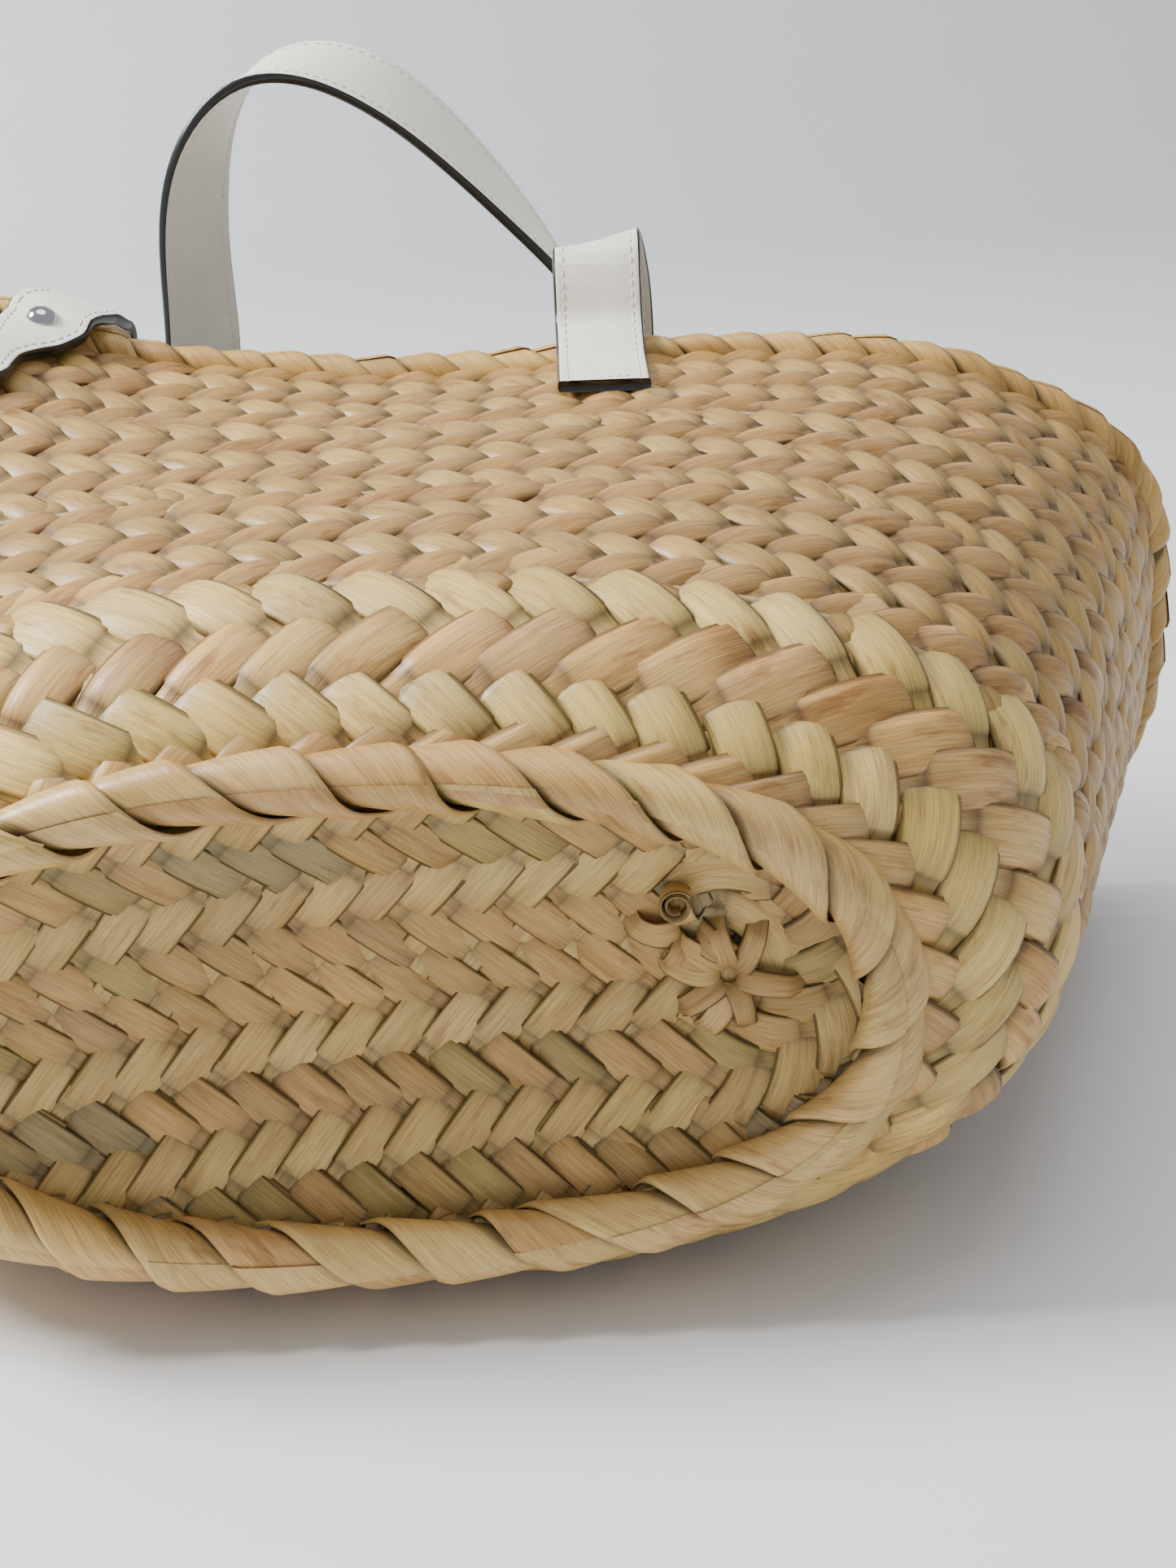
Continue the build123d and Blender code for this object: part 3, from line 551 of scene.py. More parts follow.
def leaf_ends(mesh):
    """Where the braid turns round: a rosette of turned-back leaf ends and one rolled leaf."""
    def on_mat(x, z):
        e = 1.0
        nx = (mat_y(x + e, z) - mat_y(x - e, z)) / (2 * e)
        nz = (mat_y(x, z + e) - mat_y(x, z - e)) / (2 * e)
        return np.stack([x, mat_y(x, z), z], -1), unit(np.stack([nx, -np.ones_like(nx), nz], -1))
    for cx, cz, count, r1 in ((87.0, 88.0, 8, 15.0), (78.0, 100.0, 4, 12.0)):
        for k in range(count):
            a = 2 * math.pi * (k + rng.uniform(-0.2, 0.2)) / count
            t = np.linspace(0, 1, 12)
            bend = rng.uniform(-0.5, 0.5)
            r = 2.0 + (r1 + rng.uniform(-2, 2)) * t
            x, z = cx + r * np.cos(a + bend * t), cz + r * np.sin(a + bend * t)
            keep = mat_inside(x, z) < 0.97
            if keep.sum() < 5:
                continue
            x, z, t = x[keep], z[keep], t[keep]
            P, N = on_mat(x, z)
            zz = 1.6 + rng.uniform(1.6, 3.4) * np.sin(np.pi * np.clip(t, 0, 1)) ** 0.8 - 1.8 * (t > 0.9)
            # painted shade: each turned-back end is darker towards the centre of the rosette and towards its tucked
            # tip
            ribbons(mesh, P, N, rng.uniform(6.0, 8.5) * (1 - 0.25 * t), zz, rng.uniform(-0.35, 0.35), pick([LIN(206, 180, 138), LIN(196, 168, 128), LIN(182, 152, 112)]),
                    ident=float(rng.uniform(0, 400)), crown=0.5, ply=0.3, thick=0.45, s0=float(rng.uniform(0, 300)),
                    shade=0.45 + 0.55 * np.sin(np.pi * np.clip(t, 0.08, 0.92)) ** 0.5)
    t = np.linspace(0, 1, 44)
    a = 0.6 + t * 2 * math.pi * 1.75
    r = 4.3 - 2.4 * t
    x, z = 74.6 + r * np.cos(a), 109.0 + r * np.sin(a)
    P = np.stack([x, np.full_like(x, float(mat_y(74.6, 109.0)) - 3.6), z], -1)
    N = np.stack([np.cos(a), np.full_like(a, 0.12), np.sin(a)], -1)
    # painted shade: the rolled leaf is darker towards its inner turns
    ribbons(mesh, P, unit(N), np.full(44, 9.0) * (1 - 0.2 * t), np.zeros(44), 0.0, pick([LIN(200, 172, 132)]), ident=3.0, crown=0.15, ply=0.1, thick=0.6, shade=1.0 - 0.5 * t)


base_mesh = mat_mesh()
leaf_ends(base_mesh)
mat = base_mesh.make("weave_base", [palm_base])
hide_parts("base_mat")


# ---------------------------------------------------------------- wrapped ring and rim
def closed_curve(points, n):
    p = np.vstack([points, points[:1]])
    s = np.concatenate([[0], np.cumsum(np.linalg.norm(np.diff(p, axis=0), axis=1))])
    t = np.linspace(0, s[-1], n, endpoint=False)
    return np.stack([np.interp(t, s, p[:, k]) for k in range(3)], -1), s[-1]


def wrap_mesh(points, outward, radius, turns, palette, material_rough=0.4, flat=0.12, step=1.2, ribbon=1.18, seg=26, across=9, painted_lap_shade=0.8, cross_scale=(1.0, 1.0), jitter=0.06, starts=2):
    """Broad leaf wound round a rope: every turn laps over the one before it."""
    M = len(points)
    T = unit(np.roll(points, -1, 0) - np.roll(points, 1, 0))
    N = unit(outward - T * (outward * T).sum(-1, keepdims=True))
    B = unit(np.cross(T, N))
    mesh = Mesh()

    def at(f, arr):
        f = (f % 1.0) * M
        i = f.astype(int) % M
        a = (f - np.floor(f))[..., None]
        return (1 - a) * arr[i] + a * arr[(i + 1) % M]
    psi = np.linspace(-(ribbon - 1.0), 1.0, across)
    for k in range(turns):
        off = rng.normal(0, jitter)
        tint = pick(palette, 0.06)
        burn_at, burn_w, burn_s = rng.uniform(0.1, 0.9), rng.uniform(0.05, 0.16), rng.uniform(0.0, 0.6) * (rng.random() < 0.6)
        rad = radius * (1 + rng.normal(0, 0.02))
        ph = np.linspace(-0.04, 1.04, seg)
        PH, PS = np.meshgrid(ph, psi, indexing="ij")
        ang = 2 * np.pi * PH
        f = (k + starts * PH + PS + off * np.sin(np.pi * PH) * (PS + 0.2)) / turns
        c, n, b = at(f, points), at(f, N), at(f, B)
        lay = np.clip(PS, 0, 1)
        r = rad - step * 0.5 + step * lay**0.8 - 0.9 * np.clip((PS - 0.93) / 0.07, 0, 1) ** 2 - 0.6 * np.clip(-PS / 0.18, 0, 1)
        facet = 1 + flat * (np.cos(3 * ang + 0.7 * k) * 0.25 + np.cos(2 * ang + k) * 0.2)
        rr = r * facet
        P = c + n * (np.cos(ang) * rr * cross_scale[0])[..., None] + b * (np.sin(ang) * rr * cross_scale[1])[..., None]
        inner = c + n * (np.cos(ang) * (rr - 0.7) * cross_scale[0])[..., None] + b * (np.sin(ang) * (rr - 0.7) * cross_scale[1])[..., None]
        a, q = P.shape[:2]
        v = np.concatenate([P.reshape(-1, 3), inner[:, -1].reshape(-1, 3)])
        idx = np.arange(a * q).reshape(a, q)
        fcs = np.stack([idx[:-1, :-1], idx[:-1, 1:], idx[1:, 1:], idx[1:, :-1]], -1).reshape(-1, 4)
        lip = a * q + np.arange(a)
        fl = np.stack([idx[:-1, -1], lip[:-1], lip[1:], idx[1:, -1]], -1)
        fcs = np.concatenate([fcs, fl])
        # painted shade: each turn is darkened along the edge that lies under the next turn
        shade = 1 - painted_lap_shade * 0.95 * np.clip(1 - (PS - 0.0) / 0.16, 0, 1) ** 1.3
        burn = burn_s * np.exp(-((PH - burn_at) / burn_w) ** 2)[..., None] * (0.5 + 0.5 * PS[..., None])
        col = np.asarray(tint) * shade[..., None] * (1 - burn * np.array([0.45, 0.6, 0.7]))
        # painted shade: the lip along each turn's edge is painted darker too
        col = np.concatenate([col.reshape(-1, 3), np.tile(np.asarray(tint) * 0.6, (a, 1))])
        # fibres run along the leaf, that is along the winding direction
        circ = 2 * np.pi * radius
        fibx = (PS * 24.0 * 0.72).ravel()
        fiby = (PH * circ * 1.35).ravel()
        fib = np.stack([np.concatenate([fibx, np.full(a, 14.0)]), np.concatenate([fiby, ph * circ * 1.35]), np.full(a * q + a, float(rng.uniform(0, 400)))], -1)
        mesh.add(v, fcs, col, fib)
    return mesh


_ring = raw_surface(np.zeros(1441), _th)[:-1]
ring_pts, ring_len = closed_curve(_ring, 720)
ring_mesh = wrap_mesh(ring_pts, np.tile([0.0, -1.0, 0.0], (720, 1)), 7.7, 27,
                      [LIN(218, 194, 152), LIN(212, 186, 145), LIN(208, 176, 136), LIN(220, 198, 150)], step=2.9, seg=44, across=13, flat=0.2, jitter=0.1)
ring = ring_mesh.make("foot_ring_wrap", [palm_ring])
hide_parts("foot_ring")


def inset_outline(y, inset, n=720):
    p = raw_surface(np.full(1441, float(np.interp(y, ST[:, 0], ARC)) if y < 238 else V_END), _th)[:-1]
    a, zt, zb = shape_at(y)
    zc = (zt + zb) / 2
    b = (zt - zb) / 2
    q = p.copy()
    q[:, 0] *= (a - inset) / a
    zz = (p[:, 2] - zc)
    q[:, 2] = zc + zz - np.sign(zz) * inset * np.minimum(1, abs(zz) / b)
    return closed_curve(q, n)


rim_pts, rim_len = inset_outline(238.0, 2.0)
rim_out = unit(rim_pts - rim_pts.mean(0))
rim_mesh = wrap_mesh(rim_pts, rim_out, 5.9, 84, [LIN(212, 182, 128), LIN(205, 174, 120), LIN(216, 188, 138), LIN(200, 168, 118)],
                     step=2.0, seg=20, across=8, flat=0.14, jitter=0.12)
rim = rim_mesh.make("rim_wrap", [palm_rim])
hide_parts("rim_edging")

# ---------------------------------------------------------------- leather
def leather_material(name, base, rough=0.42, bump=0.35):
    m, nt, b = new_mat(name, rough, 0.5)
    L = nt.links
    tc = node(nt, "ShaderNodeTexCoord")
    n1 = node(nt, "ShaderNodeTexNoise")
    n1.inputs["Scale"].default_value = 900.0
    n1.inputs["Detail"].default_value = 3.0
    L.new(tc.outputs["Object"], n1.inputs["Vector"])
    v = node(nt, "ShaderNodeTexVoronoi")
    v.inputs["Scale"].default_value = 1300.0
    L.new(tc.outputs["Object"], v.inputs["Vector"])
    n2 = node(nt, "ShaderNodeTexNoise")
    n2.inputs["Scale"].default_value = 38.0
    n2.inputs["Detail"].default_value = 4.0
    L.new(tc.outputs["Object"], n2.inputs["Vector"])
    r = node(nt, "ShaderNodeValToRGB")
    e = r.color_ramp.elements
    e[0].position, e[1].position = 0.3, 0.7
    e[0].color = (*(np.array(base) * 0.93), 1)
    e[1].color = (*(np.minimum(np.array(base) * 1.03, 1)), 1)
    L.new(n2.outputs["Fac"], r.inputs["Fac"])
    L.new(r.outputs["Color"], b.inputs["Base Color"])
    mx = node(nt, "ShaderNodeMath", operation="ADD")
    L.new(n1.outputs["Fac"], mx.inputs[0])
    L.new(v.outputs["Distance"], mx.inputs[1])
    bp = node(nt, "ShaderNodeBump")
    bp.inputs["Strength"].default_value = bump
    bp.inputs["Distance"].default_value = 0.00018
    L.new(mx.outputs["Value"], bp.inputs["Height"])
    L.new(bp.outputs["Normal"], b.inputs["Normal"])
    rr = node(nt, "ShaderNodeMapRange")
    rr.inputs["To Min"].default_value = rough - 0.06
    rr.inputs["To Max"].default_value = rough + 0.1
    L.new(n2.outputs["Fac"], rr.inputs["Value"])
    L.new(rr.outputs["Result"], b.inputs["Roughness"])
    return m


def plain_noise_material(name, base, rough, metallic=0.0, var=0.08, scale=200.0, bump=0.0):
    m, nt, b = new_mat(name, rough, 0.5)
    b.inputs["Metallic"].default_value = metallic
    L = nt.links
    tc = node(nt, "ShaderNodeTexCoord")
    n1 = node(nt, "ShaderNodeTexNoise")
    n1.inputs["Scale"].default_value = scale
    n1.inputs["Detail"].default_value = 3.0
    L.new(tc.outputs["Object"], n1.inputs["Vector"])
    r = node(nt, "ShaderNodeValToRGB")
    e = r.color_ramp.elements
    e[0].position, e[1].position = 0.3, 0.7
    e[0].color = (*(np.array(base) * (1 - var)), 1)
    e[1].color = (*(np.minimum(np.array(base) * (1 + var), 1)), 1)
    L.new(n1.outputs["Fac"], r.inputs["Fac"])
    L.new(r.outputs["Color"], b.inputs["Base Color"])
    if bump:
        bp = node(nt, "ShaderNodeBump")
        bp.inputs["Strength"].default_value = bump
        bp.inputs["Distance"].default_value = 0.0002
        L.new(n1.outputs["Fac"], bp.inputs["Height"])
        L.new(bp.outputs["Normal"], b.inputs["Normal"])
    return m


leather = leather_material("white_leather", LIN(246, 240, 224))
lining = leather_material("white_leather_lining", LIN(214, 210, 198), rough=0.5)
edge_paint = plain_noise_material("black_edge_paint", LIN(34, 36, 36), 0.22, var=0.15, scale=300, bump=0.1)
thread = plain_noise_material("stitch_thread", LIN(222, 219, 208), 0.6, var=0.06, scale=2500, bump=0.3)
nickel = plain_noise_material("polished_nickel", (0.5, 0.5, 0.5), 0.12, metallic=1.0, var=0.03, scale=90)
cord_mat = plain_noise_material("leaf_cord", LIN(178, 152, 112), 0.6, var=0.2, scale=800, bump=0.4)

PLY, PLY_GAP, STRAP_W = 1.7, 0.1, 28.0


def strap_frames(points, widths, count, t0=0.0, t1=1.0):
    """Centres, tangents, width directions and grain-side normals along a strap, as in the part's source."""
    p, q = np.asarray(points, float), np.asarray(widths, float)
    s = np.concatenate([[0], np.cumsum(np.linalg.norm(np.diff(p, axis=0), axis=1))])

    def pos(t):
        t = np.clip(t, 0, s[-1])
        return np.stack([smooth(t, s, p[:, k]) for k in range(3)], -1)
    t = np.linspace(s[-1] * t0, s[-1] * t1, count)
    T = unit(pos(t + 1.5) - pos(t - 1.5))
    w = np.stack([smooth(t, s, q[:, k]) for k in range(3)], -1)
    w = unit(w - T * (w * T).sum(-1, keepdims=True))
    return pos(t), T, w, np.cross(T, w), t


def strap_mesh(C, T, W, Nn, half, name, body, cap0=True, cap1=True, stitch=True, thick=3.5, tt=None):
    """Two-ply leather strap with rounded, painted edges."""
    m = Mesh()
    K = len(C)
    half = np.broadcast_to(half, (K,))
    ht = thick / 2
    # cross-section: grain side across, round the edge, lining side back, round the other edge
    prof = []
    for q, z, k in [(-1.0, 0.55, 1), (-0.985, 0.86, 1), (-0.955, 1.0, 0), (-0.83, 1.03, 0), (-0.79, 0.96, 0), (-0.74, 1.03, 0), (-0.3, 1.05, 0), (0.3, 1.05, 0),
                    (0.74, 1.03, 0), (0.79, 0.96, 0), (0.83, 1.03, 0), (0.955, 1.0, 1), (0.985, 0.86, 1), (1.0, 0.55, 1), (1.012, 0.0, 1), (1.0, -0.55, 1),
                    (0.985, -0.86, 1), (0.955, -1.0, 2), (0.83, -1.02, 2), (0.79, -0.96, 2), (0.74, -1.02, 2), (-0.74, -1.02, 2), (-0.79, -0.96, 2), (-0.83, -1.02, 2), (-0.955, -1.0, 1), (-0.985, -0.86, 1), (-1.0, -0.55, 1), (-1.012, 0.0, 1)]:
        prof.append((q, z, k))
    q = np.array([a[0] for a in prof])
    z = np.array([a[1] for a in prof])
    kind = np.array([a[2] for a in prof])
    M = len(q)
    P = C[:, None] + W[:, None] * (half[:, None] * q)[..., None] + Nn[:, None] * (ht * z)[None, :, None]
    v = P.reshape(-1, 3)
    idx = np.arange(K * M).reshape(K, M)
    a, b = idx[:-1], idx[1:]
    f = np.stack([a, np.roll(a, -1, 1), np.roll(b, -1, 1), b], -1)
    mats = [0 if (kind[i] == 0) else (2 if kind[i] == 2 else 1) for i in range(M)]
    fib = np.zeros((K * M, 3))
    col = np.ones((K * M, 3))
    base = m.n
    m.add(v, f[:, [i for i in range(M) if mats[i] == 0]].reshape(-1, 4), col, fib, 0)
    for mi in (1, 2):
        ff = f[:, [i for i in range(M) if mats[i] == mi]].reshape(-1, 4) + base
        m.f.append(ff)
        m.mat.append(np.full(len(ff), mi))
    for cap, row, flip in ((cap0, idx[0], True), (cap1, idx[-1], False)):
        if cap:
            quads = []
            lo, hi = 0, M - 1
            # strips between the grain side and the lining side
            top = list(range(0, 15))
            bot = [0] + list(range(M - 1, 13, -1))
            bot = bot[:15]
            for i in range(14):
                quad = [row[top[i]], row[top[i + 1]], row[bot[i + 1]], row[bot[i]]]
                quads.append(quad if flip else quad[::-1])
            ff = np.array(quads)
            m.f.append(ff)
            m.mat.append(np.full(len(ff), 1))
    o = m.make(name, [leather, edge_paint, lining], body)
    return o


def add_stitches(mesh, C, W, Nn, half, lift_, inset=3.0, pitch=3.4, length=2.5, r=0.34, side=1):
    s = np.concatenate([[0], np.cumsum(np.linalg.norm(np.diff(C, axis=0), axis=1))])
    n = int(s[-1] // pitch)
    for k in range(n):
        for e in (-1, 1):
            t = np.array([(k + 0.5) * pitch - length / 2, (k + 0.5) * pitch + length / 2])
            pts = []
            for u in np.linspace(t[0], t[1], 5):
                c = np.array([np.interp(u, s, C[:, i]) for i in range(3)])
                w = np.array([np.interp(u, s, W[:, i]) for i in range(3)])
                nn = np.array([np.interp(u, s, Nn[:, i]) for i in range(3)])
                h = np.interp(u, s, half)
                x = (u - t[0]) / (t[1] - t[0])
                pts.append(c + w * e * (h - inset) + nn * side * (lift_ - 0.28 * (2 * x - 1) ** 4))
            tube(mesh, np.array(pts), r, 6)


def tube(mesh, pts, r, sides=6, taper=True, tint=(1, 1, 1)):
    K = len(pts)
    T = unit(np.gradient(pts, axis=0))
    ref = np.array([0.3, 0.5, 0.81])
    A = unit(np.cross(T, ref))
    B = np.cross(T, A)
    ang = np.linspace(0, 2 * np.pi, sides, endpoint=False)
    rad = r * (np.array([0.55] + [1.0] * (K - 2) + [0.55]) if taper else np.ones(K))
    P = pts[:, None] + (A[:, None] * np.cos(ang)[None, :, None] + B[:, None] * np.sin(ang)[None, :, None]) * rad[:, None, None]
    idx = np.arange(K * sides).reshape(K, sides)
    a, b = idx[:-1], idx[1:]
    f = np.stack([a, np.roll(a, -1, 1), np.roll(b, -1, 1), b], -1).reshape(-1, 4)
    v = np.concatenate([P.reshape(-1, 3), pts[:1], pts[-1:]])
    caps = []
    for i in range(sides):
        caps.append([K * sides, idx[0][(i + 1) % sides], idx[0][i], -1])
        caps.append([K * sides + 1, idx[-1][i], idx[-1][(i + 1) % sides], -1])
    f = np.concatenate([f, np.array(caps)])
    n = len(v)
    f = np.where(f < 0, -1 - mesh.n, f)
    mesh.add(v, f, np.tile(np.asarray(tint, float), (n, 1)), np.zeros((n, 3)))


# back handle (the standing arch): the same path as the part's source, with its bend at the table
BACK_POINTS = [
    (-88.0, 256.0, 6.8), (-87.6, 258.4, 18.0), (-86.0, 265.5, 50.0), (-82.5, 276.0, 100.0),
    (-77.0, 286.0, 155.0), (-69.4, 292.6, 203.6), (-69.8, 294.3, 222.8),
    (-69.4, 295.2, 240.2), (-66.6, 295.8, 256.4), (-61.7, 297.6, 270.2),
    (-55.3, 298.7, 280.4), (-46.6, 298.8, 289.4), (-37.5, 298.3, 292.9),
    (-25.9, 297.7, 293.0), (-15.5, 296.9, 290.7), (-4.8, 296.5, 285.4),
    (7.6, 297.0, 276.5), (19.2, 297.5, 265.2), (34.0, 298.1, 249.0),
    (44.3, 298.6, 236.0), (54.2, 298.8, 223.6), (62.5, 297.0, 206.0),
    (67.5, 291.0, 176.0), (69.5, 281.5, 128.0), (68.5, 270.4, 74.0),
    (66.8, 260.6, 28.0), (66.2, 257.5, 14.0), (66.0, 256.0, 6.8)]
BACK_WIDTHS = [
    (1, 0, 0), (1, 0.02, 0), (0.99, 0.12, 0), (0.95, 0.3, 0),
    (0.86, 0.5, 0), (0.78, 0.6, -0.2), (0.73, 0.68, -0.04),
    (0.68, 0.73, -0.07), (0.57, 0.78, -0.28), (0.34, 0.9, -0.25),
    (0.13, 0.98, -0.16), (-0.04, 0.99, 0.09), (-0.01, 0.95, 0.28),
    (0.07, 0.91, 0.41), (0.22, 0.85, 0.48), (0.3, 0.82, 0.49),
    (0.33, 0.86, 0.4), (0.31, 0.89, 0.34), (0.25, 0.94, 0.23),
    (0.16, 0.97, 0.16), (0.06, 0.99, 0.08), (-0.15, 0.98, 0.0),
    (-0.5, 0.85, 0.0), (-0.82, 0.55, 0.0), (-0.96, 0.25, 0.0),
    (-1, 0.05, 0), (-1, 0.01, 0), (-1, 0, 0)]
FRONT_POINTS = [
    (67.0, 239.0, 211.6), (67.0, 242.0, 221.0), (67.3, 247.5, 230.0), (68.0, 255.5, 234.0),
    (69.5, 264.0, 229.5), (71.5, 269.5, 216.0), (71.8, 270.5, 198.0), (70.0, 266.0, 175.0),
    (66.0, 256.0, 150.0), (59.0, 240.0, 124.0), (46.0, 222.0, 100.0), (26.0, 207.0, 83.0),
    (2.0, 199.0, 75.0), (-22.0, 198.0, 74.0), (-46.0, 204.0, 81.0), (-67.0, 217.0, 97.0),
    (-83.0, 236.0, 122.0), (-93.0, 251.0, 149.0), (-98.5, 260.0, 177.0),
    (-100.6, 263.0, 199.0), (-99.6, 262.0, 211.0), (-97.8, 257.6, 218.0),
    (-97.6, 253.2, 219.8), (-98.65, 250.0, 219.9)]
FRONT_WIDTHS = [
    (-1, 0, 0), (-0.98, -0.1, -0.08), (-0.95, -0.22, -0.2), (-0.93, -0.26, -0.25),
    (-0.95, -0.2, -0.22), (-0.98, -0.1, -0.1), (-1, 0.0, 0.0), (-0.98, 0.12, -0.08),
    (-0.9, 0.35, -0.2), (-0.72, 0.58, -0.38), (-0.45, 0.72, -0.52), (-0.2, 0.78, -0.58),
    (-0.05, 0.8, -0.6), (0.1, 0.8, -0.6), (0.28, 0.76, -0.57), (0.5, 0.68, -0.5),
    (0.74, 0.54, -0.36), (0.9, 0.34, -0.18), (0.98, 0.14, -0.06),
    (1, 0.03, 0.0), (0.97, -0.1, -0.2), (0.95, -0.28, -0.36), (0.94, -0.33, -0.38),
    (0.94, -0.33, -0.38)]
H = STRAP_W / 2


def loop_strap(points, widths, body, name, fade=0.0):
    C, T, W, Nn, t = strap_frames(points, widths, 150)
    L = t[-1]
    for _ in range(12 if body == "back_handle" else 8):
        for a in (C, W):
            a[8:-8] = 0.5 * a[8:-8] + 0.25 * (a[7:-9] + a[9:-7])
    T = unit(np.gradient(C, axis=0))
    W = unit(W - T * (W * T).sum(-1, keepdims=True))
    Nn = np.cross(T, W)
    k0, k1 = np.searchsorted(t, 14.0), np.searchsorted(t, L - 14.0)
    main = slice(k0, k1 + 1)
    o = strap_mesh(C[main], T[main], W[main], Nn[main], H, name, body, cap0=False, cap1=False)
    st = Mesh()
    add_stitches(st, C[main], W[main], Nn[main], np.full(k1 + 1 - k0, H), 1.78, side=1)
    add_stitches(st, C[main], W[main], Nn[main], np.full(k1 + 1 - k0, H), 1.76, side=-1)
    s = st.make(name + "_stitches", [thread], body)
    return o, s, (C[:k0 + 1], T[:k0 + 1], W[:k0 + 1], Nn[:k0 + 1]), (C[k1:], T[k1:], W[k1:], Nn[k1:])


back, back_st, bL, bR = loop_strap(BACK_POINTS, BACK_WIDTHS, "back_handle", "back_strap")
front, front_st, fR, fL = loop_strap(FRONT_POINTS, FRONT_WIDTHS, "front_handle", "front_strap")
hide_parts("back_handle_outer", "back_handle_lining")
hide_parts("front_handle_outer", "front_handle_lining")


def join_frames(fixed, moving, count=16):
    """A short run of strap that bends from a fixed end to the first frames of the moving strap."""
    (c0, t0, w0, n0), (c1, t1, w1, n1) = fixed, moving
    L = np.linalg.norm(c1 - c0)
    u = np.linspace(0, 1, count)[:, None]
    h00, h10, h01, h11 = 2 * u**3 - 3 * u**2 + 1, u**3 - 2 * u**2 + u, -2 * u**3 + 3 * u**2, u**3 - u**2
    C = h00 * c0 + h10 * L * t0 + h01 * c1 + h11 * L * t1
    T = unit(np.gradient(C, axis=0))
    T[0], T[-1] = t0, t1
    W = (1 - u) * w0 + u * w1
    W = unit(W - T * (W * T).sum(-1, keepdims=True))
    return C, T, W, np.cross(T, W)


def blend_strap(name, C, T, W, Nn, body, start, end, cap0=False, stitches=True):
    o = strap_mesh(C, T, W, Nn, H, name, None, cap0=False, cap1=False)
    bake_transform(o)
    st = Mesh()
    add_stitches(st, C, W, Nn, np.full(len(C), H), 1.78, side=1)
    s = st.make(name + "_stitches", [thread], None)
    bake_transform(s)
    return o


# front handle, right end: sewn down on the outside of the wall, then over the rim
LIE = 0.35 + PLY + PLY_GAP / 2
y = np.concatenate([np.linspace(191, 221, 22), [224.5, 227.5, 229.8, 232.0, 233.6, 235.0]])
z = np.concatenate([wall_z(67.0, np.linspace(191, 221, 22)) + LIE, [201.6, 203.3, 204.6, 205.9, 206.9, 207.9]])
C = np.stack([np.full_like(y, 67.0), y, z], -1)
T = unit(np.gradient(C, axis=0))
W = unit(np.array([-1.0, 0, 0.015]) - T * (T * np.array([-1.0, 0, 0.015])).sum(-1, keepdims=True))
Nn = np.cross(T, W)
fr_end = strap_mesh(C, T, W, Nn, H, "front_right_strap_end", "basket", cap0=True, cap1=False)
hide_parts("front_right_end_outer", "front_right_end_lining")
st = Mesh()
add_stitches(st, C[1:], W[1:], Nn[1:], np.full(len(C) - 1, H), 1.78, side=1)
cross = np.stack([np.linspace(67 - 9.4, 67 + 9.4, 23), np.full(23, 193.6), wall_z(np.linspace(67 - 9.4, 67 + 9.4, 23), 193.6) + LIE + 1.72], -1)
for i in range(0, 20, 3):
    tube(st, cross[i:i + 3] + np.array([[0, 0, -0.15], [0, 0, 0.1], [0, 0, -0.15]]), 0.34)
st = st.make("front_right_stitches", [thread], "basket")
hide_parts("end_stitches")
mC, mT, mW, mN = fR
blend_pts = np.concatenate([C[-1:], mC]), np.concatenate([T[-1:], mT]), np.concatenate([W[-1:], mW]), np.concatenate([Nn[-1:], mN])
jc = join_frames((C[-1], T[-1], W[-1], Nn[-1]), (mC[1], mT[1], mW[1], mN[1]), 8)
bl = [np.concatenate([a, b[2:]]) for a, b in zip(jc, fR)]
blend_strap("front_right_bend", *bl, "front_handle", (67, 236.0, 208.2), (67, 241.5, 219.5))

# front handle, left end: the studded tab
TAB_DIR, TAB_ROOT = np.array([-0.33, -0.944]), np.array([-101.0, 243.0])
TAB_S = np.array([-2.6, 1.0, 6.0, 9.0, 12.5, 17.0, 22.0, 28.0, 36.0, 44.0, 52.0, 58.0, 64.0, 68.5, 71.5])
TAB_HALF = np.array([14.0, 14.0, 14.0, 14.0, 14.0, 13.7, 13.0, 11.6, 8.8, 7.6, 9.4, 11.0, 10.6, 7.6, 2.6])
TAB_OVER = 5.6 + 2.95 + PLY + PLY_GAP / 2


def tab_xy(s):
    return TAB_ROOT[0] + TAB_DIR[0] * s, TAB_ROOT[1] + TAB_DIR[1] * s


tx, ty = tab_xy(TAB_S)
down = wall_z(tx, np.minimum(ty, 232)) + LIE + 1.3
rz = wall_z(tx, 238.0) - 2.0
over = np.where(ty > 238, rz + TAB_OVER, rz + np.sqrt(np.maximum(TAB_OVER**2 - (238 - ty) ** 2, 0)))
over = np.where(ty > 238 - TAB_OVER, over, 0)
tz = np.maximum(over, down) + np.array([0, 0, 0, 0.3, 1.2, 1.4, 0.6] + [0] * 8)
tab_w = []
for x_, y_ in zip(tx, ty):
    yy = min(y_, 230.0)
    wx, wy = -TAB_DIR[1], TAB_DIR[0]
    tab_w.append((wx, wy, float(wall_z(x_ + 5 * wx, yy + 5 * wy) - wall_z(x_ - 5 * wx, yy - 5 * wy)) / 10))
sf = np.linspace(TAB_S[0], TAB_S[-1] + 0.4, 64)
sf[-6:] = TAB_S[-1] + 0.4 - np.array([2.2, 1.3, 0.7, 0.3, 0.1, 0.0])
C = np.stack([smooth(sf, TAB_S, v_) for v_ in (tx, ty, tz)], -1)
T = unit(np.gradient(C, axis=0))
W = np.stack([smooth(sf, TAB_S, np.array(tab_w)[:, k]) for k in range(3)], -1)
W = unit(W - T * (W * T).sum(-1, keepdims=True))
Nn = np.cross(T, W)
half = smooth(sf, TAB_S, TAB_HALF)
tab = strap_mesh(C, T, W, Nn, half, "stud_tab", "basket", cap0=False, cap1=True)
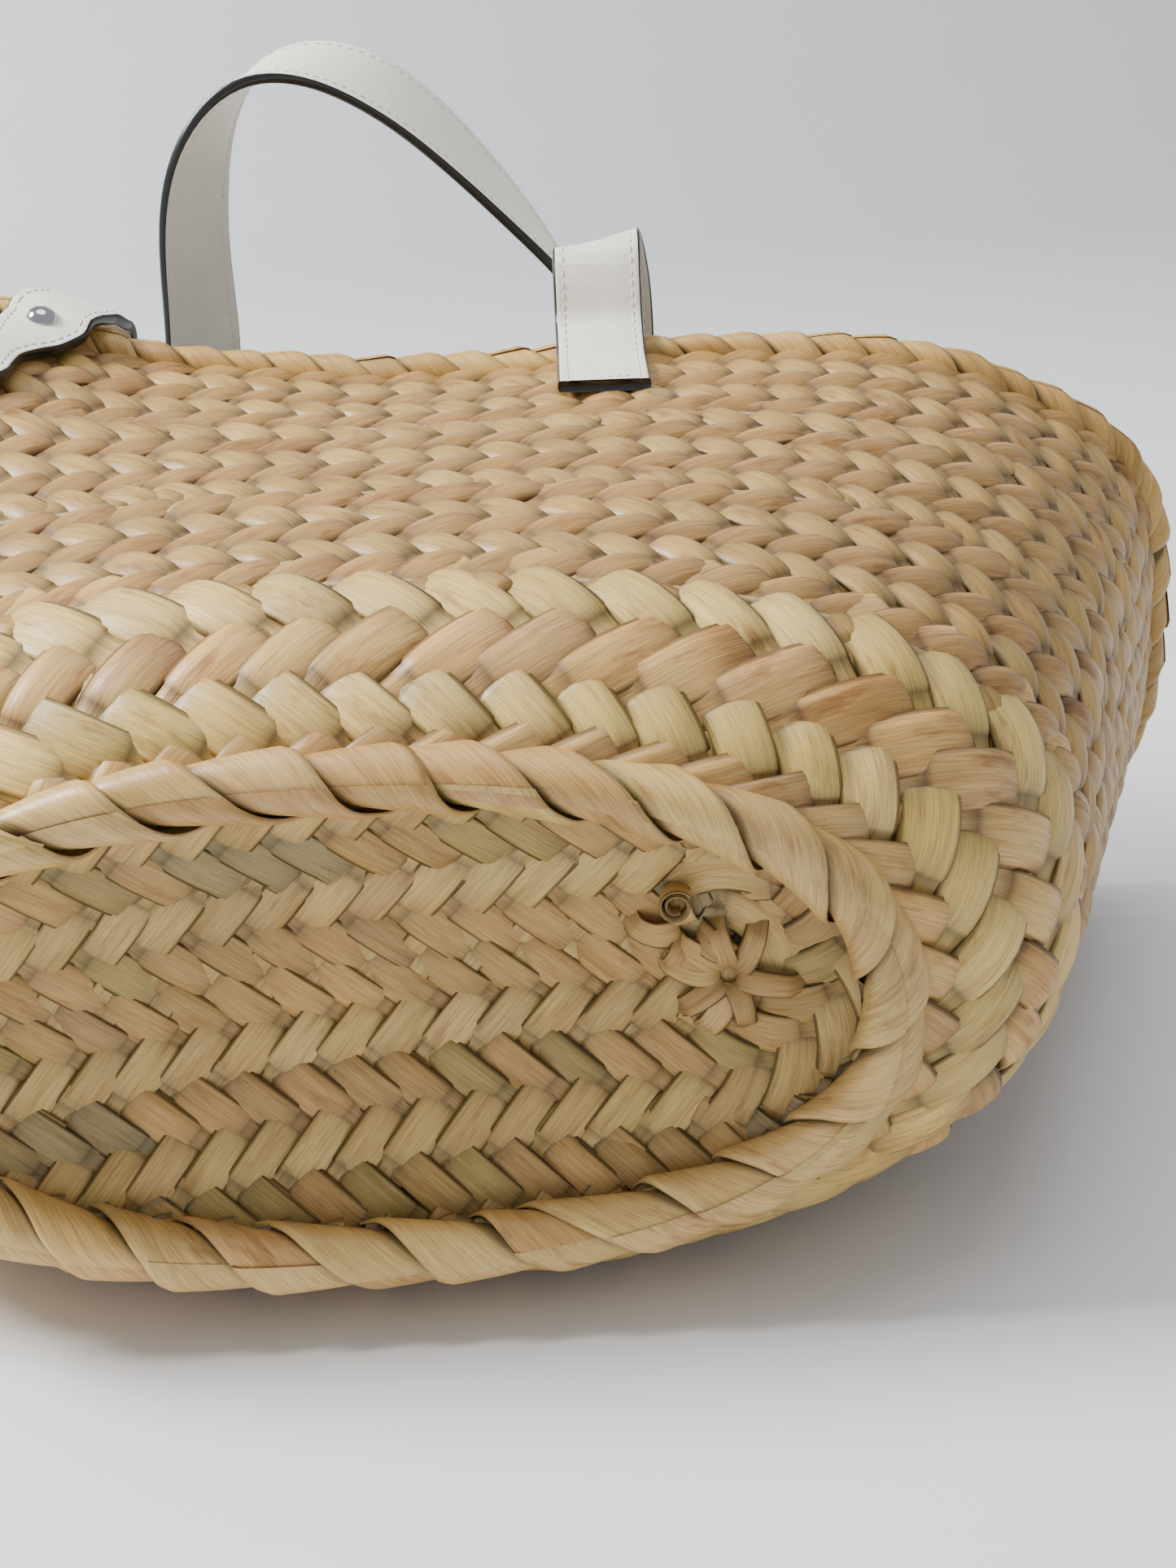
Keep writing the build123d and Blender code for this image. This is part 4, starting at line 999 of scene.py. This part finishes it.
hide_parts("front_left_tab_outer", "front_left_tab_lining")
st = Mesh()
add_stitches(st, C[:-7], W[:-7], Nn[:-7], half[:-7], 1.78, side=1)
st = st.make("stud_tab_stitches", [thread], "basket")
rev = [a[::-1].copy() for a in fL]
# the moving strap runs towards the tab: turn its frames round so that both run the same way
tC, tT, tW, tN = C[0], T[0], W[0], Nn[0]
jc = join_frames((fL[0][-2], fL[1][-2], fL[2][-2], fL[3][-2]), (tC, tT, tW, tN), 8)
bl = [np.concatenate([b[:-2], a]) for a, b in zip(jc, fL)]
blend_strap("front_left_bend", *bl, "front_handle", (-99.9, 246.2, 219.9), (-98.4, 252.6, 220.4))

# back handle ends under the lower side
for nm, x0, fr, nodes, rightside in (("back_left", -88.0, bL, ("back_left_end",), False), ("back_right", 66.0, bR, ("back_right_end",), True)):
    y = np.linspace(204.0, 249.5, 26)
    C = np.stack([np.full_like(y, x0), y, np.full_like(y, 2.35)], -1)
    T = np.tile([0.0, 1, 0], (26, 1))
    W = np.tile([1.0, 0, 0], (26, 1))
    Nn = np.cross(T, W)
    if rightside:
        T, C = -T[::-1], C[::-1]
        W = -W
        Nn = np.cross(T, W)
    end = strap_mesh(C, T, W, Nn, H, nm + "_strap_end", "basket", cap0=not rightside, cap1=rightside, thick=3.3)
    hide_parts(*nodes)
    if not rightside:
        jc = join_frames((C[-1], T[-1], W[-1], Nn[-1]), (fr[0][2], fr[1][2], fr[2][2], fr[3][2]), 12)
        bl = [np.concatenate([a, b[3:]]) for a, b in zip(jc, fr)]
    else:
        jc = join_frames((fr[0][-3], fr[1][-3], fr[2][-3], fr[3][-3]), (C[0], T[0], W[0], Nn[0]), 12)
        bl = [np.concatenate([b[:-3], a]) for a, b in zip(jc, fr)]
    blend_strap(nm + "_bend", *bl, "back_handle", (x0, 250.5, 2.6), (x0, 256.0, 7.2))

# CAD nodes that keep their own shape
for nm, mt in (("course_lacing", cord_mat), ("front_right_patch", lining), ("back_left_patch", lining), ("back_right_patch", lining), ("stud_backs", nickel)):
    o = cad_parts[nm]
    o.data.materials.clear()
    o.data.materials.append(mt)

# dome studs
STUD_AT = [(-108.2, 226.8), (-122.5, 183.5)]
studs = Mesh()
for x_, y_ in STUD_AT:
    i = int(np.argmin(np.hypot(C[0, 0] * 0 + tx - x_, ty - y_)))
    k = int(np.argmin(np.linalg.norm(np.stack([smooth(sf, TAB_S, tx) - x_, smooth(sf, TAB_S, ty) - y_], -1), axis=1)))
    zc = float(smooth(sf[k], TAB_S, tz))
    e = 4.0
    zx = float(wall_z(x_ + e, y_) - wall_z(x_ - e, y_)) / (2 * e)
    n = unit(np.array([-zx, -0.28 if y_ > 215 else 0.06, 1.0]))
    # height of the tab's mid-plane at the stud
    c = np.array([x_, y_, zc + zx * (x_ - float(smooth(sf[k], TAB_S, tx)))]) + n * 1.75
    a = unit(np.cross(n, [0, 1, 0]))
    b = np.cross(n, a)
    prof = [(4.9, -0.2), (5.0, 0.15), (4.95, 0.5), (4.7, 1.0), (4.3, 1.7), (3.7, 2.4), (2.9, 3.0), (2.0, 3.4), (1.0, 3.65), (0.35, 3.7)]
    ang = np.linspace(0, 2 * np.pi, 40, endpoint=False)
    P = np.array([[c + (a * math.cos(t) + b * math.sin(t)) * r_ + n * h_ for t in ang] for r_, h_ in prof])
    idx = np.arange(len(prof) * 40).reshape(len(prof), 40)
    A, B = idx[:-1], idx[1:]
    f = np.stack([A, np.roll(A, -1, 1), np.roll(B, -1, 1), B], -1).reshape(-1, 4)
    v = np.concatenate([P.reshape(-1, 3), [c + n * 3.72], [c - n * 0.2]])
    top = len(v) - 2
    caps = [[top, idx[-1][k_], idx[-1][(k_ + 1) % 40], -1 - studs.n] for k_ in range(40)]
    caps += [[top + 1, idx[0][(k_ + 1) % 40], idx[0][k_], -1 - studs.n] for k_ in range(40)]
    studs.add(v, np.concatenate([f, np.array(caps)]), np.ones((len(v), 3)), np.zeros((len(v), 3)))
studs = studs.make("dome_stud_heads", [nickel])
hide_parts("dome_studs")

# ---------------------------------------------------------------- stage, light and camera
floor_mat = plain_noise_material("pale_floor", (0.85, 0.855, 0.87), 0.85, var=0.01, scale=6)
me = bpy.data.meshes.new("floor")
R = 12.0
rail = [(-R, 0.0), (2.2, 0.0)] + [(2.2 + 1.6 * math.sin(a), 1.6 - 1.6 * math.cos(a)) for a in np.linspace(0.08, math.pi / 2, 20)] + [(3.8, 8.0)]
me.from_pydata([(x, y, z) for y, z in rail for x in (-R, R)], [], [(2 * i, 2 * i + 1, 2 * i + 3, 2 * i + 2) for i in range(len(rail) - 1)])
me.polygons.foreach_set("use_smooth", [True] * len(me.polygons))
floor = bpy.data.objects.new("floor", me)
floor.data.materials.append(floor_mat)
bpy.context.scene.collection.objects.link(floor)

world = bpy.data.worlds.new("studio")
bpy.context.scene.world = world
world.use_nodes = True
world.node_tree.nodes["Background"].inputs["Color"].default_value = (0.86, 0.89, 0.94, 1)
world.node_tree.nodes["Background"].inputs["Strength"].default_value = 0.62


def area(name, at, look, size, power, colour=(1, 1, 1)):
    d = bpy.data.lights.new(name, "AREA")
    d.shape = "DISK"
    d.size = size
    d.energy = power
    d.color = colour
    o = bpy.data.objects.new(name, d)
    bpy.context.scene.collection.objects.link(o)
    from mathutils import Vector
    o.location = at
    o.rotation_euler = (Vector(look) - Vector(at)).to_track_quat("-Z", "Y").to_euler()
    return o


area("key", (-1.25, 0.0, 1.3), (0, 0, 0.1), 0.6, 62, (1.0, 0.985, 0.96))
area("backdrop_light", (-2.2, 1.6, 1.3), (-1.3, 3.2, 0.2), 0.8, 55)
area("top", (0.1, 0.1, 2.0), (0, 0.0, 0.1), 1.4, 16, (0.96, 0.98, 1.0))

CAM = np.array([55.7426, -421.9269, 304.2108])
fwd = unit(np.array([-0.0000183, 0.933954, -0.357393]))
up = np.array([0.052042, 0.356909, 0.932688])
right = unit(np.cross(fwd, up))
up = np.cross(right, fwd)
from mathutils import Matrix
cd = bpy.data.cameras.new("camera")
cam = bpy.data.objects.new("camera", cd)
bpy.context.scene.collection.objects.link(cam)
p = metres(CAM)
cam.matrix_world = Matrix(((right[0], up[0], -fwd[0], p[0]), (right[1], up[1], -fwd[1], p[1]), (right[2], up[2], -fwd[2], p[2]), (0, 0, 0, 1)))
cd.sensor_fit = "HORIZONTAL"
cd.sensor_width = 36.0
cd.lens = 36.0 * 2487.69 / 1445.0
cd.clip_start = 0.01
cd.clip_end = 300
bpy.context.scene.camera = cam
